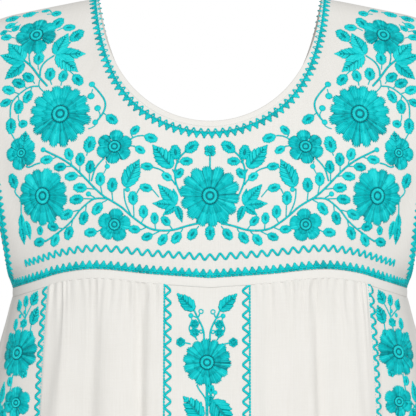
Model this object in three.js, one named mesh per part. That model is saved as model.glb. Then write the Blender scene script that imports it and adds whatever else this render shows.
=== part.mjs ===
// A woman's cotton dress in the Mexican embroidered style: a scoop-necked yoke with grown-on cap sleeves,
// a narrow waist band, and a skirt that is gathered between flat panels. It stands hollow, as it is worn.
// Units are millimetres. X runs across the figure, -Y is the front, +Z is up. The origin lies midway
// between the two shoulder points of the neck, at the height where the shoulders carry the cloth.
import * as THREE from "three";

// Driving dimensions.
const CLOTH = 1.6; // thickness of the cotton wall
const SEAM_GAP = 0.3; // space between two pieces at a seam
const NECK_HALF_WIDTH = 118; // centre to neck edge, along the shoulder line
const NECK_DROP = { front: 134, back: 140 }; // shoulder line to the lowest point of the neck edge
const BINDING_WIDTH = 6; // neck binding, edge to seam
const BINDING_PROUD = 0.5; // how far binding and band stand out from the cloth beside them
const SHOULDER_SLOPE = 0.22; // fall of the shoulder line for each millimetre out
const SHOULDER_ROUND = 70; // length over which the two shoulder lines blend at the centre
const CAP_START = 205; // where the cap sleeve starts to turn down
const CAP_TURN = 0.0055; // how fast it turns down from there
const SLEEVE_HALF_SPAN = 262; // centre to the sleeve edge, at the shoulder line
const WAIST_HALF_WIDTH = 206; // centre to the side seam, at the waist band
const SLEEVE_EDGE_BOW = 1.2; // bend of the sleeve edge from shoulder to underarm, 1 is straight
const BAND_HEIGHT = 7.8; // waist band, seam to seam
const HEM_HEIGHT = -930; // the hem, below the origin
const BUST = { across: 95, height: -245, spread: 48, rise: 45, depth: 8 }; // soft fullness of the front
const GATHER_DEPTH = 3.2; // crest of a gather above the cloth at the band
const GATHER_LENGTH = 34; // length over which gathers melt into folds
const FOLD_DEPTH = 21; // crest of a full fold at the hem
const FOLD_GROWTH = 0.75; // how folds deepen on the way down, 1 is even
const SIDES = ["front", "back"];

// Yoke sections from the shoulder line (row 0) to the waist band (row 1). Rows are spaced by the square
// root of the height, so that the shoulder line is round. depth: centre of the section from the shoulder
// plane. squareness: exponent of the section's superellipse. opening: depth at the armhole, of the whole.
const YOKE_ROWS = {
  front: [
    { row: 0.0, depth: 0, squareness: 6.0, opening: 0.86 },
    { row: 0.2, depth: 25, squareness: 5.0, opening: 0.84 },
    { row: 0.33, depth: 42, squareness: 4.4, opening: 0.8 },
    { row: 0.45, depth: 62, squareness: 3.8, opening: 0.76 },
    { row: 0.6, depth: 91, squareness: 3.2, opening: 0.72 },
    { row: 0.7, depth: 108, squareness: 3.0, opening: 0.69 },
    { row: 0.82, depth: 124, squareness: 2.9, opening: 0.65 },
    { row: 0.92, depth: 131, squareness: 2.9, opening: 0.57 },
    { row: 0.97, depth: 131, squareness: 2.9, opening: 0.44 },
    { row: 1.0, depth: 130, squareness: 3.0, opening: 0.0 },
  ],
  back: [
    { row: 0.0, depth: 0, squareness: 6.0, opening: 0.86 },
    { row: 0.2, depth: 25, squareness: 5.0, opening: 0.84 },
    { row: 0.33, depth: 41, squareness: 4.2, opening: 0.8 },
    { row: 0.45, depth: 58, squareness: 3.6, opening: 0.76 },
    { row: 0.6, depth: 80, squareness: 3.0, opening: 0.72 },
    { row: 0.7, depth: 92, squareness: 2.8, opening: 0.69 },
    { row: 0.82, depth: 104, squareness: 2.7, opening: 0.65 },
    { row: 0.92, depth: 110, squareness: 2.7, opening: 0.57 },
    { row: 0.97, depth: 112, squareness: 2.7, opening: 0.45 },
    { row: 1.0, depth: 113, squareness: 2.7, opening: 0.0 },
  ],
};

// Height of the seam between band and skirt. across: distance from the centre, of the half width.
const WAIST_SEAM = {
  front: [
    { across: 0.0, height: -300.5 },
    { across: 0.28, height: -296.5 },
    { across: 0.55, height: -291.5 },
    { across: 0.72, height: -295.5 },
    { across: 0.86, height: -304.5 },
    { across: 1.0, height: -314.0 },
  ],
  back: [
    { across: 0.0, height: -309.0 },
    { across: 0.5, height: -309.5 },
    { across: 1.0, height: -314.0 },
  ],
};

// Skirt sections. down: share of the way from waist seam to hem.
const SKIRT_ROWS = {
  front: [
    { down: 0.0, halfWidth: 206, depth: 130, squareness: 3.0 },
    { down: 0.09, halfWidth: 219, depth: 136, squareness: 2.9 },
    { down: 0.18, halfWidth: 231, depth: 144, squareness: 2.8 },
    { down: 0.35, halfWidth: 250, depth: 160, squareness: 2.6 },
    { down: 0.6, halfWidth: 274, depth: 181, squareness: 2.4 },
    { down: 1.0, halfWidth: 303, depth: 206, squareness: 2.3 },
  ],
  back: [
    { down: 0.0, halfWidth: 206, depth: 113, squareness: 2.7 },
    { down: 0.09, halfWidth: 219, depth: 125, squareness: 2.6 },
    { down: 0.18, halfWidth: 231, depth: 136, squareness: 2.5 },
    { down: 0.35, halfWidth: 250, depth: 154, squareness: 2.4 },
    { down: 0.6, halfWidth: 274, depth: 176, squareness: 2.3 },
    { down: 1.0, halfWidth: 303, depth: 200, squareness: 2.3 },
  ],
};

// Zones of the skirt along the waist seam, from the centre to the side seam. width: at the seam, 0 for
// what is left. gathers: 0 where the cloth is flat. flare: share of the skirt's extra width that it takes.
const SKIRT_ZONES = {
  front: [
    { width: 44, gathers: 0, flare: 0 },
    { width: 126, gathers: 15, flare: 0.15 },
    { width: 75, gathers: 0, flare: 0.1 },
    { width: 0, gathers: 4, flare: 0.75 },
  ],
  back: [{ width: 0, gathers: 24, flare: 1 }],
};

// Ridges of the large folds. zone: place in the list above. top and hem: centre of the ridge at the seam
// and at the hem, of the zone's width. spread: half width of the ridge, of the zone's width.
const FRONT_FOLDS = [
  { zone: 1, top: 0.11, hem: 0.12, spread: 0.09, depth: 0.7 },
  { zone: 1, top: 0.43, hem: 0.42, spread: 0.14, depth: 1.0 },
  { zone: 1, top: 0.84, hem: 0.84, spread: 0.13, depth: 0.9 },
  { zone: 2, top: 0.55, hem: 0.56, spread: 0.3, depth: 0.5 },
  { zone: 3, top: 0.2, hem: 0.22, spread: 0.14, depth: 0.75 },
  { zone: 3, top: 0.68, hem: 0.66, spread: 0.16, depth: 0.9 },
];
const BACK_FOLD_COUNT = 6; // on each half
const BACK_FOLDS = Array.from({ length: BACK_FOLD_COUNT }, (_, i) => ({
  zone: 0,
  top: (i + 0.5) / BACK_FOLD_COUNT,
  hem: (i + 0.5 + 0.14 * Math.sin(2.4 * i + 1)) / BACK_FOLD_COUNT,
  spread: 0.26 / BACK_FOLD_COUNT,
  depth: 0.8 + 0.2 * Math.sin(1.7 * i),
}));
const FOLDS = { front: FRONT_FOLDS, back: BACK_FOLDS };

const SECTION_STEPS = 96; // points on half a section, when its length is measured
const NECK_STEPS = 12; // columns from the centre of the neck edge to the shoulder
const SHOULDER_STEPS = 8; // columns along one shoulder
const YOKE_STEPS = 13; // rows of a yoke panel
const YOKE_CROWDING = 1.5; // how much closer they lie near the band, 1 is even
const BAND_STEPS = 24; // columns on half of a band
const PANEL_STEP = 12; // about one column for this length of flat skirt
const GATHER_ROWS = [0, 0.012, 0.03, 0.06, 0.1]; // share of the way to the hem, one column a gather flank
const FOLD_ROWS = [0.17, 0.26, 0.38, 0.52, 0.68, 0.84, 1]; // and below them, one column a gather

const lerp = (a, b, t) => a + (b - a) * t;

/** A smooth curve through one column of a table, as a function of its key column. */
function smooth(rows, key, column) {
  const x = rows.map((r) => r[key]);
  const y = rows.map((r) => r[column]);
  const last = x.length - 1;
  const slope = y.map((_, i) => {
    const [a, b] = [Math.max(0, i - 1), Math.min(last, i + 1)];
    return (y[b] - y[a]) / (x[b] - x[a]);
  });
  return (at) => {
    const p = Math.min(Math.max(at, x[0]), x[last]);
    let i = 0;
    while (i < last - 1 && p > x[i + 1]) i += 1;
    const h = x[i + 1] - x[i];
    const t = (p - x[i]) / h;
    const [t2, t3] = [t * t, t * t * t];
    return (
      (2 * t3 - 3 * t2 + 1) * y[i] +
      (t3 - 2 * t2 + t) * h * slope[i] +
      (3 * t2 - 2 * t3) * y[i + 1] +
      (t3 - t2) * h * slope[i + 1]
    );
  };
}

/** Columns of a table as smooth functions, by name. */
function smoothColumns(rows, key) {
  const names = Object.keys(rows[0]).filter((name) => name !== key);
  return Object.fromEntries(names.map((name) => [name, smooth(rows, key, name)]));
}

const bySide = (make) => Object.fromEntries(SIDES.map((side) => [side, make(side)]));
const yokeRows = bySide((side) => smoothColumns(YOKE_ROWS[side], "row"));
const skirtRows = bySide((side) => smoothColumns(SKIRT_ROWS[side], "down"));
const waistSeam = bySide((side) => smooth(WAIST_SEAM[side], "across", "height"));
const outward = { front: -1, back: 1 }; // sign of Y on each side

/** Height of the shoulder line at a distance from the centre. */
function shoulderHeight(x) {
  const fall = Math.hypot(x, SHOULDER_ROUND) - Math.hypot(NECK_HALF_WIDTH, SHOULDER_ROUND);
  return -SHOULDER_SLOPE * fall - CAP_TURN * Math.max(0, Math.abs(x) - CAP_START) ** 2;
}

/** Height of the seam between band and skirt at a distance from the centre. */
function seamHeight(side, x) {
  return waistSeam[side](Math.min(1, Math.abs(x) / WAIST_HALF_WIDTH));
}

const yokeHem = (side, x) => seamHeight(side, x) + BAND_HEIGHT;

/** Soft fullness that the bust gives the front of the cloth. */
function fullness(side, x, z) {
  if (side === "back") return 0;
  const across = (Math.abs(x) - BUST.across) / BUST.spread;
  const up = (z - BUST.height) / BUST.rise;
  return BUST.depth * Math.exp(-(across * across + up * up) / 2);
}

/** Depth of a superellipse section at a distance from the centre, of its depth at the centre. */
function sectionDepth(x, halfWidth, squareness) {
  return Math.max(0, 1 - (x / halfWidth) ** squareness) ** (1 / squareness);
}

/** Half a section as points from the centre to its edge, with the length along it. */
function measuredSection(side, form) {
  const { halfWidth, depth, squareness, edge, heightAt } = form;
  const last = Math.asin(Math.min(1, (edge / halfWidth) ** (squareness / 2)));
  const points = [];
  let length = 0;
  for (let i = 0; i <= SECTION_STEPS; i += 1) {
    const angle = (last * i) / SECTION_STEPS;
    const x = i === SECTION_STEPS ? edge : halfWidth * Math.sin(angle) ** (2 / squareness);
    const z = heightAt(x);
    const y = depth * sectionDepth(x, halfWidth, squareness) + fullness(side, x, z);
    const point = new THREE.Vector3(x, outward[side] * y, z);
    if (i > 0) length += point.distanceTo(points[i - 1].point);
    points.push({ point, length });
  }
  return points;
}

/** The point of a measured half section at a signed length from the centre. */
function pointAlong(section, along) {
  const wanted = Math.min(Math.abs(along), section.at(-1).length);
  let i = 1;
  while (i < section.length - 1 && section[i].length < wanted) i += 1;
  const [a, b] = [section[i - 1], section[i]];
  const point = a.point.clone().lerp(b.point, (wanted - a.length) / (b.length - a.length));
  if (along < 0) point.x = -point.x;
  return point;
}

/** The length along a measured half section where it is at a distance x from the centre. */
function lengthAt(section, x) {
  let i = 1;
  while (i < section.length - 1 && section[i].point.x < x) i += 1;
  const [a, b] = [section[i - 1], section[i]];
  return lerp(a.length, b.length, (x - a.point.x) / (b.point.x - a.point.x));
}

const memory = new Map();
/** Keeps what a section is, so that it is measured only once. */
function remembered(key, make) {
  if (!memory.has(key)) memory.set(key, make());
  return memory.get(key);
}

/** The half section of the yoke at a row, from the centre to the armhole edge. */
function yokeSection(side, row) {
  return remembered(`yoke ${side} ${row.toFixed(6)}`, () => {
    const down = row * row;
    const { depth, squareness, opening } = yokeRows[side];
    const n = squareness(row);
    const edge = lerp(WAIST_HALF_WIDTH, SLEEVE_HALF_SPAN, (1 - down) ** SLEEVE_EDGE_BOW);
    const halfWidth = edge / (1 - opening(row) ** n) ** (1 / n);
    const heightAt = (x) => lerp(shoulderHeight(x), yokeHem(side, x), down);
    return measuredSection(side, { halfWidth, depth: depth(row), squareness: n, edge, heightAt });
  });
}

/** A point of the yoke. across: share of the way from the centre to the armhole edge, signed. */
function yokePoint(side, across, row) {
  const section = yokeSection(side, Math.min(Math.max(row, 0), 1));
  return pointAlong(section, across * section.at(-1).length);
}

/** The same point, moved along the cloth's outward normal. */
function yokeWallPoint(side, across, row, proud) {
  const step = 0.004;
  const [u0, u1] = [Math.max(across - step, -1), Math.min(across + step, 1)];
  const [v0, v1] = [Math.max(row - step, 0), Math.min(row + step, 1)];
  const alongSection = yokePoint(side, u1, row).sub(yokePoint(side, u0, row));
  const downward = yokePoint(side, across, v1).sub(yokePoint(side, across, v0));
  const normal = downward.cross(alongSection).normalize().multiplyScalar(-outward[side]);
  return yokePoint(side, across, row).addScaledVector(normal, proud);
}

/** Where the neck edge, widened by a margin, lies on the yoke. turn: 0 at the centre, 1 at the shoulder. */
function neckPlace(side, turn, margin) {
  const angle = (turn * Math.PI) / 2;
  const x = (NECK_HALF_WIDTH + margin) * Math.sin(angle);
  const z = lerp(-(NECK_DROP[side] + margin) * Math.cos(angle), shoulderHeight(x), turn ** 6);
  const down = (shoulderHeight(x) - z) / (shoulderHeight(x) - yokeHem(side, x));
  const row = Math.sqrt(Math.max(0, down));
  const section = yokeSection(side, row);
  return { across: lengthAt(section, x) / section.at(-1).length, row };
}

/** Half a skirt section at a share of the way down, and the lengths where its zones end. */
function skirtSection(side, down) {
  return remembered(`skirt ${side} ${down.toFixed(6)}`, () => {
    const { halfWidth, depth, squareness } = skirtRows[side];
    const edge = halfWidth(down);
    const heightAt = (x) => {
      const atSeam = seamHeight(side, (x * WAIST_HALF_WIDTH) / edge);
      return lerp(atSeam, HEM_HEIGHT, down);
    };
    const form = { halfWidth: edge, depth: depth(down), squareness: squareness(down), edge, heightAt };
    const section = measuredSection(side, form);
    return { section, ends: zoneEnds(side, down, section.at(-1).length) };
  });
}

/** Lengths along a half section where the skirt's zones end. */
function zoneEnds(side, down, total) {
  const atSeam = down === 0 ? total : skirtSection(side, 0).section.at(-1).length;
  const stated = SKIRT_ZONES[side].reduce((sum, zone) => sum + zone.width, 0);
  let end = 0;
  return SKIRT_ZONES[side].map((zone) => {
    end += (zone.width || atSeam - stated) + zone.flare * (total - atSeam);
    return end;
  });
}

/** How far gathers and folds lift the cloth off its section. place: 0 to 1 across the zone. */
function lift(side, zone, place, down) {
  const { gathers } = SKIRT_ZONES[side][zone];
  const below = down * (seamHeight(side, 0) - HEM_HEIGHT);
  const gather = (GATHER_DEPTH * (1 - Math.cos(2 * Math.PI * gathers * place))) / 2;
  const folds = FOLDS[side]
    .filter((fold) => fold.zone === zone)
    .reduce((sum, fold) => {
      const off = (place - lerp(fold.top, fold.hem, down)) / fold.spread;
      return sum + fold.depth * Math.exp(-off * off);
    }, 0);
  return gather * Math.exp(-below / GATHER_LENGTH) + FOLD_DEPTH * down ** FOLD_GROWTH * folds;
}

/** A point of the skirt's wall. hand is -1 or 1, and inset how far inside the outer face it lies. */
function skirtPoint(side, { hand, zone, place }, down, inset) {
  const { section, ends } = skirtSection(side, down);
  const start = zone === 0 ? 0 : ends[zone - 1];
  const along = hand * lerp(start, ends[zone], place);
  const total = section.at(-1).length;
  const step = 1.5;
  const before = pointAlong(section, Math.max(-total, along - step));
  const after = pointAlong(section, Math.min(total, along + step));
  const direction = after.sub(before);
  const normal = new THREE.Vector3(direction.y, -direction.x, 0).normalize();
  normal.multiplyScalar(-outward[side]);
  return pointAlong(section, along).addScaledVector(normal, lift(side, zone, place, down) - inset);
}

/** Columns of the skirt across one whole side: two for each gather, and flat cloth in even steps. */
function skirtColumns(side) {
  const { section, ends } = skirtSection(side, 0);
  const half = SKIRT_ZONES[side].flatMap(({ gathers }, zone) => {
    const width = ends[zone] - (zone === 0 ? 0 : ends[zone - 1]);
    const count = gathers ? 2 * gathers : 2 * Math.ceil(width / PANEL_STEP / 2);
    const first = zone === 0 ? 0 : 1;
    return Array.from({ length: count + 1 - first }, (_, i) => ({ zone, place: (i + first) / count }));
  });
  const handed = (hand) => half.map((column) => ({ ...column, hand }));
  return [...handed(-1).slice(1).reverse(), ...handed(1)];
}

/** Closes a sheet of paired outer and inner points into one wall. Faces run over the outer points. */
function wallGeometry(outer, inner, faces) {
  const count = outer.length;
  const edges = new Map();
  for (const face of faces)
    face.forEach((a, i) => edges.set(`${a} ${face[(i + 1) % 3]}`, [a, face[(i + 1) % 3]]));
  const rim = [...edges.values()].filter(([a, b]) => !edges.has(`${b} ${a}`));
  const indices = [
    ...faces.flat(),
    ...faces.flatMap(([a, b, c]) => [a + count, c + count, b + count]),
    ...rim.flatMap(([a, b]) => [b, a, a + count, b, a + count, b + count]),
  ];
  const geometry = new THREE.BufferGeometry();
  geometry.setFromPoints([...outer, ...inner]);
  geometry.setIndex(indices);
  return geometry;
}

/** Faces between two rows of points, one of which may have every second column of the other. */
function facesBetween(upper, lower) {
  const faces = [];
  const step = (upper.length - 1) / (lower.length - 1);
  for (let j = 0; j < lower.length - 1; j += 1) {
    const i = j * step;
    const middle = i + Math.ceil(step / 2);
    for (let k = i; k < middle; k += 1) faces.push([upper[k], lower[j], upper[k + 1]]);
    faces.push([upper[middle], lower[j], lower[j + 1]]);
    for (let k = middle; k < i + step; k += 1) faces.push([upper[k], lower[j + 1], upper[k + 1]]);
  }
  return faces;
}

/** A wall from rows of outer and inner points. Each point is {outer, inner}. */
function wallFromRows(rows, side) {
  const [outer, inner, numbers] = [[], [], []];
  for (const row of rows) {
    numbers.push(row.map((point) => outer.push(point.outer) && inner.push(point.inner) && outer.length - 1));
  }
  const faces = numbers.slice(1).flatMap((row, i) => facesBetween(numbers[i], row));
  const turned = side === "back" ? faces.map(([a, b, c]) => [a, c, b]) : faces;
  return wallGeometry(outer, inner, turned);
}

const steps = (count) => Array.from({ length: count + 1 }, (_, i) => i / count);
const mirrored = (half) => [...half.slice(1).reverse().map((c) => ({ ...c, hand: -1 })), ...half];

/** Moves a side's points apart from the other side's, so that the seams stay open. */
function apart(point, side) {
  point.y += (outward[side] * SEAM_GAP) / 2;
  return point;
}

/** One yoke panel: columns run from the neck edge or the shoulder line down to the band. */
function yokeGeometry(side) {
  const margin = BINDING_WIDTH + SEAM_GAP;
  const shoulder = neckPlace(side, 1, margin).across;
  const neckColumns = steps(NECK_STEPS).map((turn) => ({
    hand: 1,
    top: neckPlace(side, turn, margin),
    foot: turn / 2,
  }));
  const shoulderColumns = steps(SHOULDER_STEPS)
    .slice(1)
    .map((out) => ({ hand: 1, top: { across: lerp(shoulder, 1, out), row: 0 }, foot: (1 + out) / 2 }));
  const columns = mirrored([...neckColumns, ...shoulderColumns]);
  const rows = steps(YOKE_STEPS).map((step) =>
    columns.map(({ hand, top, foot }) => {
      const down = 1 - (1 - step) ** YOKE_CROWDING;
      const across = hand * lerp(top.across, foot, down);
      const row = lerp(top.row, 1, down);
      const at = (proud) => apart(yokeWallPoint(side, across, row, proud), side);
      return { outer: at(0), inner: at(-CLOTH) };
    }),
  );
  return wallFromRows(rows, side);
}

/** The binding round the whole neck: a folded strip that is thicker than the yoke beside it. */
function bindingGeometry() {
  const quarter = steps(NECK_STEPS).map((turn) => ({ turn }));
  const ring = [];
  for (const side of SIDES) {
    const halves = mirrored(quarter.map((c) => ({ ...c, side, hand: 1 })));
    const ordered = side === "front" ? halves : halves.reverse();
    ring.push(...ordered.slice(0, -1));
  }
  const rows = steps(2).map((out) =>
    ring.map(({ side, turn, hand }) => {
      const place = neckPlace(side, turn, out * BINDING_WIDTH);
      const rolled = BINDING_PROUD * Math.sin(Math.PI * (0.25 + out / 2));
      const at = (proud) => yokeWallPoint(side, hand * place.across, place.row, proud);
      return { outer: at(rolled), inner: at(-CLOTH - rolled) };
    }),
  );
  const [outer, inner, numbers] = [[], [], []];
  for (const row of rows) {
    numbers.push(row.map((point) => outer.push(point.outer) && inner.push(point.inner) && outer.length - 1));
    numbers.at(-1).push(numbers.at(-1)[0]);
  }
  const faces = numbers.slice(1).flatMap((row, i) => facesBetween(numbers[i], row));
  return wallGeometry(outer, inner, faces);
}

/** The waist band of one side, between yoke and skirt. */
function bandGeometry(side) {
  const { section } = skirtSection(side, 0);
  const columns = mirrored(steps(BAND_STEPS).map((out) => ({ hand: 1, out })));
  const rows = [BAND_HEIGHT - SEAM_GAP, SEAM_GAP].map((above) =>
    columns.map(({ hand, out }) => {
      const total = section.at(-1).length;
      const along = hand * out * total;
      const before = pointAlong(section, Math.max(-total, along - 1));
      const after = pointAlong(section, Math.min(total, along + 1));
      const direction = after.sub(before);
      const normal = new THREE.Vector3(direction.y, -direction.x, 0).normalize();
      normal.multiplyScalar(-outward[side]);
      const at = (proud) => {
        const point = pointAlong(section, along).addScaledVector(normal, proud);
        point.z += above;
        return apart(point, side);
      };
      return { outer: at(BINDING_PROUD), inner: at(-CLOTH) };
    }),
  );
  return wallFromRows(rows, side);
}

/** The skirt of one side, gathered on to the band. */
function skirtGeometry(side) {
  const columns = skirtColumns(side);
  const everySecond = columns.filter((_, i) => i % 2 === 0);
  const rowOf = (chosen) => (down) =>
    chosen.map((column) => ({
      outer: apart(skirtPoint(side, column, down, 0), side),
      inner: apart(skirtPoint(side, column, down, CLOTH), side),
    }));
  return wallFromRows([...GATHER_ROWS.map(rowOf(columns)), ...FOLD_ROWS.map(rowOf(everySecond))], side);
}

const cotton = { color: 0xece9e3, roughness: 0.92, metalness: 0 };
const MATERIALS = {
  yoke: new THREE.MeshStandardMaterial(cotton),
  trim: new THREE.MeshStandardMaterial({ ...cotton, color: 0xe4e0d9 }),
  skirt: new THREE.MeshStandardMaterial({ ...cotton, color: 0xebe8e2 }),
};

const dress = new THREE.Group();

/** Adds one named piece of the dress. */
function sew(name, geometry, material) {
  const piece = new THREE.Mesh(geometry, material);
  piece.name = name;
  dress.add(piece);
}

for (const side of SIDES) {
  sew(`yoke_${side}`, yokeGeometry(side), MATERIALS.yoke);
  sew(`waist_band_${side}`, bandGeometry(side), MATERIALS.trim);
  sew(`skirt_${side}`, skirtGeometry(side), MATERIALS.skirt);
}
sew("neck_binding", bindingGeometry(), MATERIALS.trim);

export default dress;
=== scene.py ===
"""The looks of a Mexican embroidered cotton dress.

The dress stands hollow, as it is worn. The cloth follows the same named sizes as its solids, with finer
gathers and creases, and carries turquoise needlework: every flower, leaf, stem and border is laid stitch by
stitch. Sizes are millimetres until a mesh is made. On the cloth, `out` is the distance from the centre line
and `down` the distance below the shoulder points of the neck, both as the dress is seen from the front.
"""

import logging
import math
from dataclasses import dataclass, field
from enum import Enum
from typing import Callable, Iterator, Sequence

import bpy
import numpy as np
from bpy.types import Material, Mesh, Node, NodeSocket, NodeTree, Object
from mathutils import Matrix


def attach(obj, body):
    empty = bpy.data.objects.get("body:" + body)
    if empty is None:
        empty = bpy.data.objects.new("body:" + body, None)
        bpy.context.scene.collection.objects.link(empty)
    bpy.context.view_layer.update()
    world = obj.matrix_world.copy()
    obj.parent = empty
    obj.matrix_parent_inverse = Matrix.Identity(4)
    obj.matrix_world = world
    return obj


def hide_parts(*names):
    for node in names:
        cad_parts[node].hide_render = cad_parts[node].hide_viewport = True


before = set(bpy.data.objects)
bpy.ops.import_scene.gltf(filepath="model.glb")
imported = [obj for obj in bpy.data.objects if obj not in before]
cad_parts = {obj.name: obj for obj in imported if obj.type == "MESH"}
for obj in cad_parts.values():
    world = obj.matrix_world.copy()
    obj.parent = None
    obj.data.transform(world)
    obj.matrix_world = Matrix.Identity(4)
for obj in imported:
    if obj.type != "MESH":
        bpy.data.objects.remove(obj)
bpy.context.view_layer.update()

logging.basicConfig(level=logging.INFO, format="%(message)s")
log = logging.getLogger("dress")

Array = np.ndarray
Point2 = tuple[float, float]
Colour = tuple[float, float, float]
Inputs = dict[str | int, object]

MM = 0.001
SEED = 20

# The cut of the dress, as the solids have it.
NECK_HALF_WIDTH = 118.0
BINDING_WIDTH = 6.0
BINDING_PROUD = 0.5
SEAM_GAP = 0.3
SEAM_LAP = 1.2
SHOULDER_SLOPE = 0.22
SHOULDER_ROUND = 70.0
CAP_START = 205.0
CAP_TURN = 0.0055
SLEEVE_HALF_SPAN = 262.0
WAIST_HALF_WIDTH = 206.0
SLEEVE_EDGE_BOW = 1.2
BAND_HEIGHT = 7.8
HEM_HEIGHT = -930.0
GATHER_DEPTH = 3.2
GATHER_LENGTH = 34.0
FOLD_DEPTH = 21.0
FOLD_GROWTH = 0.75

# The fullness of the bust: its middle, how far it spreads across and up, and its depth.
BUST_OUT = 95.0
BUST_HEIGHT = -245.0
BUST_BREADTH = 48.0
BUST_TALLNESS = 45.0
BUST_DEPTH = 8.0

# The view that `out` and `down` are read in: the eye's distance from the front of the cloth, and its height.
FRONT_PLANE = -130.0
EYE_DISTANCE = 2281.0
EYE_HEIGHT = -222.0
EYE_SIDE = -2.0
VIEW_WIDTH = 416.0

# How finely the cloth is worked out, and how much its rows crowd towards the waist seam.
SECTION_STEPS = 192
YOKE_COLUMNS = 321
YOKE_LINES = 241
SKIRT_LINES = 150
ROW_CROWDING = 1.5
GATHER_COLUMNS = 7
FLAT_COLUMN = 5.0


class Side(Enum):
    """A side of the dress. The value is the sign of Y there."""

    FRONT = -1
    BACK = 1

    @property
    def word(self) -> str:
        """The side's name in the names of pieces."""
        return self.name.lower()


class SmoothTable:
    """The columns of a short table as smooth curves over its first column."""

    def __init__(self, rows: Sequence[Sequence[float]]) -> None:
        """Reads the table.

        Args:
            rows: the table's rows, each with its key first.
        """
        table = np.array(rows, float)
        self.keys, self.values = table[:, 0], table[:, 1:]
        number = np.arange(len(table))
        after, before = np.minimum(number + 1, len(table) - 1), np.maximum(number - 1, 0)
        run = (self.keys[after] - self.keys[before])[:, None]
        self.slopes = (self.values[after] - self.values[before]) / run

    def __call__(self, at: Array | float) -> Array:
        """Values at a key, one for each column, with the columns on the last axis."""
        at = np.clip(np.asarray(at, float), self.keys[0], self.keys[-1])
        i = np.clip(np.searchsorted(self.keys, at) - 1, 0, len(self.keys) - 2)
        h = (self.keys[i + 1] - self.keys[i])[..., None]
        t = (at - self.keys[i])[..., None] / h
        return (
            (2 * t**3 - 3 * t**2 + 1) * self.values[i]
            + (t**3 - 2 * t**2 + t) * h * self.slopes[i]
            + (3 * t**2 - 2 * t**3) * self.values[i + 1]
            + (t**3 - t**2) * h * self.slopes[i + 1]
        )


# Yoke sections: row, depth, squareness, opening at the armhole.
YOKE_ROWS = {
    Side.FRONT: SmoothTable([
        (0.0, 0, 6.0, 0.86), (0.2, 25, 5.0, 0.84), (0.33, 42, 4.4, 0.8), (0.45, 62, 3.8, 0.76),
        (0.6, 91, 3.2, 0.72), (0.7, 108, 3.0, 0.69), (0.82, 124, 2.9, 0.65), (0.92, 131, 2.9, 0.57),
        (0.97, 131, 2.9, 0.44), (1.0, 130, 3.0, 0.0),
    ]),
    Side.BACK: SmoothTable([
        (0.0, 0, 6.0, 0.86), (0.2, 25, 5.0, 0.84), (0.33, 41, 4.2, 0.8), (0.45, 58, 3.6, 0.76),
        (0.6, 80, 3.0, 0.72), (0.7, 92, 2.8, 0.69), (0.82, 104, 2.7, 0.65), (0.92, 110, 2.7, 0.57),
        (0.97, 112, 2.7, 0.45), (1.0, 113, 2.7, 0.0),
    ]),
}
NECK_DROP = {Side.FRONT: 134.0, Side.BACK: 140.0}

# Waist seam: distance from the centre, of the half width, and height.
WAIST_SEAM = {
    Side.FRONT: SmoothTable([
        (0.0, -300.5), (0.28, -296.5), (0.55, -291.5), (0.72, -295.5), (0.86, -304.5), (1.0, -314.0),
    ]),
    Side.BACK: SmoothTable([(0.0, -309.0), (0.5, -309.5), (1.0, -314.0)]),
}

# Skirt sections: share of the way down, half width, depth, squareness.
SKIRT_ROWS = {
    Side.FRONT: SmoothTable([
        (0.0, 206, 130, 3.0), (0.09, 219, 136, 2.9), (0.18, 231, 144, 2.8), (0.35, 250, 160, 2.6),
        (0.6, 274, 181, 2.4), (1.0, 303, 206, 2.3),
    ]),
    Side.BACK: SmoothTable([
        (0.0, 206, 113, 2.7), (0.09, 219, 125, 2.6), (0.18, 231, 136, 2.5), (0.35, 250, 154, 2.4),
        (0.6, 274, 176, 2.3), (1.0, 303, 200, 2.3),
    ]),
}


@dataclass(frozen=True)
class Zone:
    """A stretch of the skirt along the waist seam. A width of 0 takes what is left."""

    width: float
    gathers: int
    flare: float
    depth: float = 1.0


@dataclass(frozen=True)
class Fold:
    """A ridge of the skirt. Places are shares of the zone's width, at the seam and at the hem."""

    zone: int
    top: float
    hem: float
    spread: float
    depth: float


PANEL_HALF_WIDTH = 44.0
GATHERED_WIDTH = 126.0
SIDE_PANEL_WIDTH = 75.0
ZONES = {
    Side.FRONT: (
        Zone(PANEL_HALF_WIDTH, 0, 0), Zone(GATHERED_WIDTH, 15, 0.15),
        Zone(SIDE_PANEL_WIDTH, 0, 0.1), Zone(0, 4, 0.75, 0.4),
    ),
    Side.BACK: (Zone(0, 24, 1),),
}
BACK_FOLD_COUNT = 6
FOLDS = {
    Side.FRONT: [
        Fold(1, 0.11, 0.12, 0.09, 0.7), Fold(1, 0.43, 0.42, 0.14, 1.0), Fold(1, 0.84, 0.84, 0.13, 0.9),
        Fold(2, 0.55, 0.56, 0.3, 0.5), Fold(3, 0.2, 0.22, 0.14, 0.75), Fold(3, 0.68, 0.66, 0.16, 0.9),
    ],
    Side.BACK: [
        Fold(0, (i + 0.5) / BACK_FOLD_COUNT, (i + 0.5 + 0.14 * math.sin(2.4 * i + 1)) / BACK_FOLD_COUNT,
             0.26 / BACK_FOLD_COUNT, 0.8 + 0.2 * math.sin(1.7 * i))
        for i in range(BACK_FOLD_COUNT)
    ],
}


def shoulder_height(x: Array | float) -> Array:
    """Height of the shoulder line at a distance from the centre."""
    x = np.abs(x)
    fall = np.hypot(x, SHOULDER_ROUND) - math.hypot(NECK_HALF_WIDTH, SHOULDER_ROUND)
    return -SHOULDER_SLOPE * fall - CAP_TURN * np.maximum(0, x - CAP_START) ** 2


def seam_height(side: Side, x: Array | float) -> Array:
    """Height of the seam between waist band and skirt."""
    return WAIST_SEAM[side](np.minimum(1, np.abs(x) / WAIST_HALF_WIDTH))[..., 0]


def yoke_hem(side: Side, x: Array | float) -> Array:
    """Height of the seam between yoke and waist band."""
    return seam_height(side, x) + BAND_HEIGHT


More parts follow.
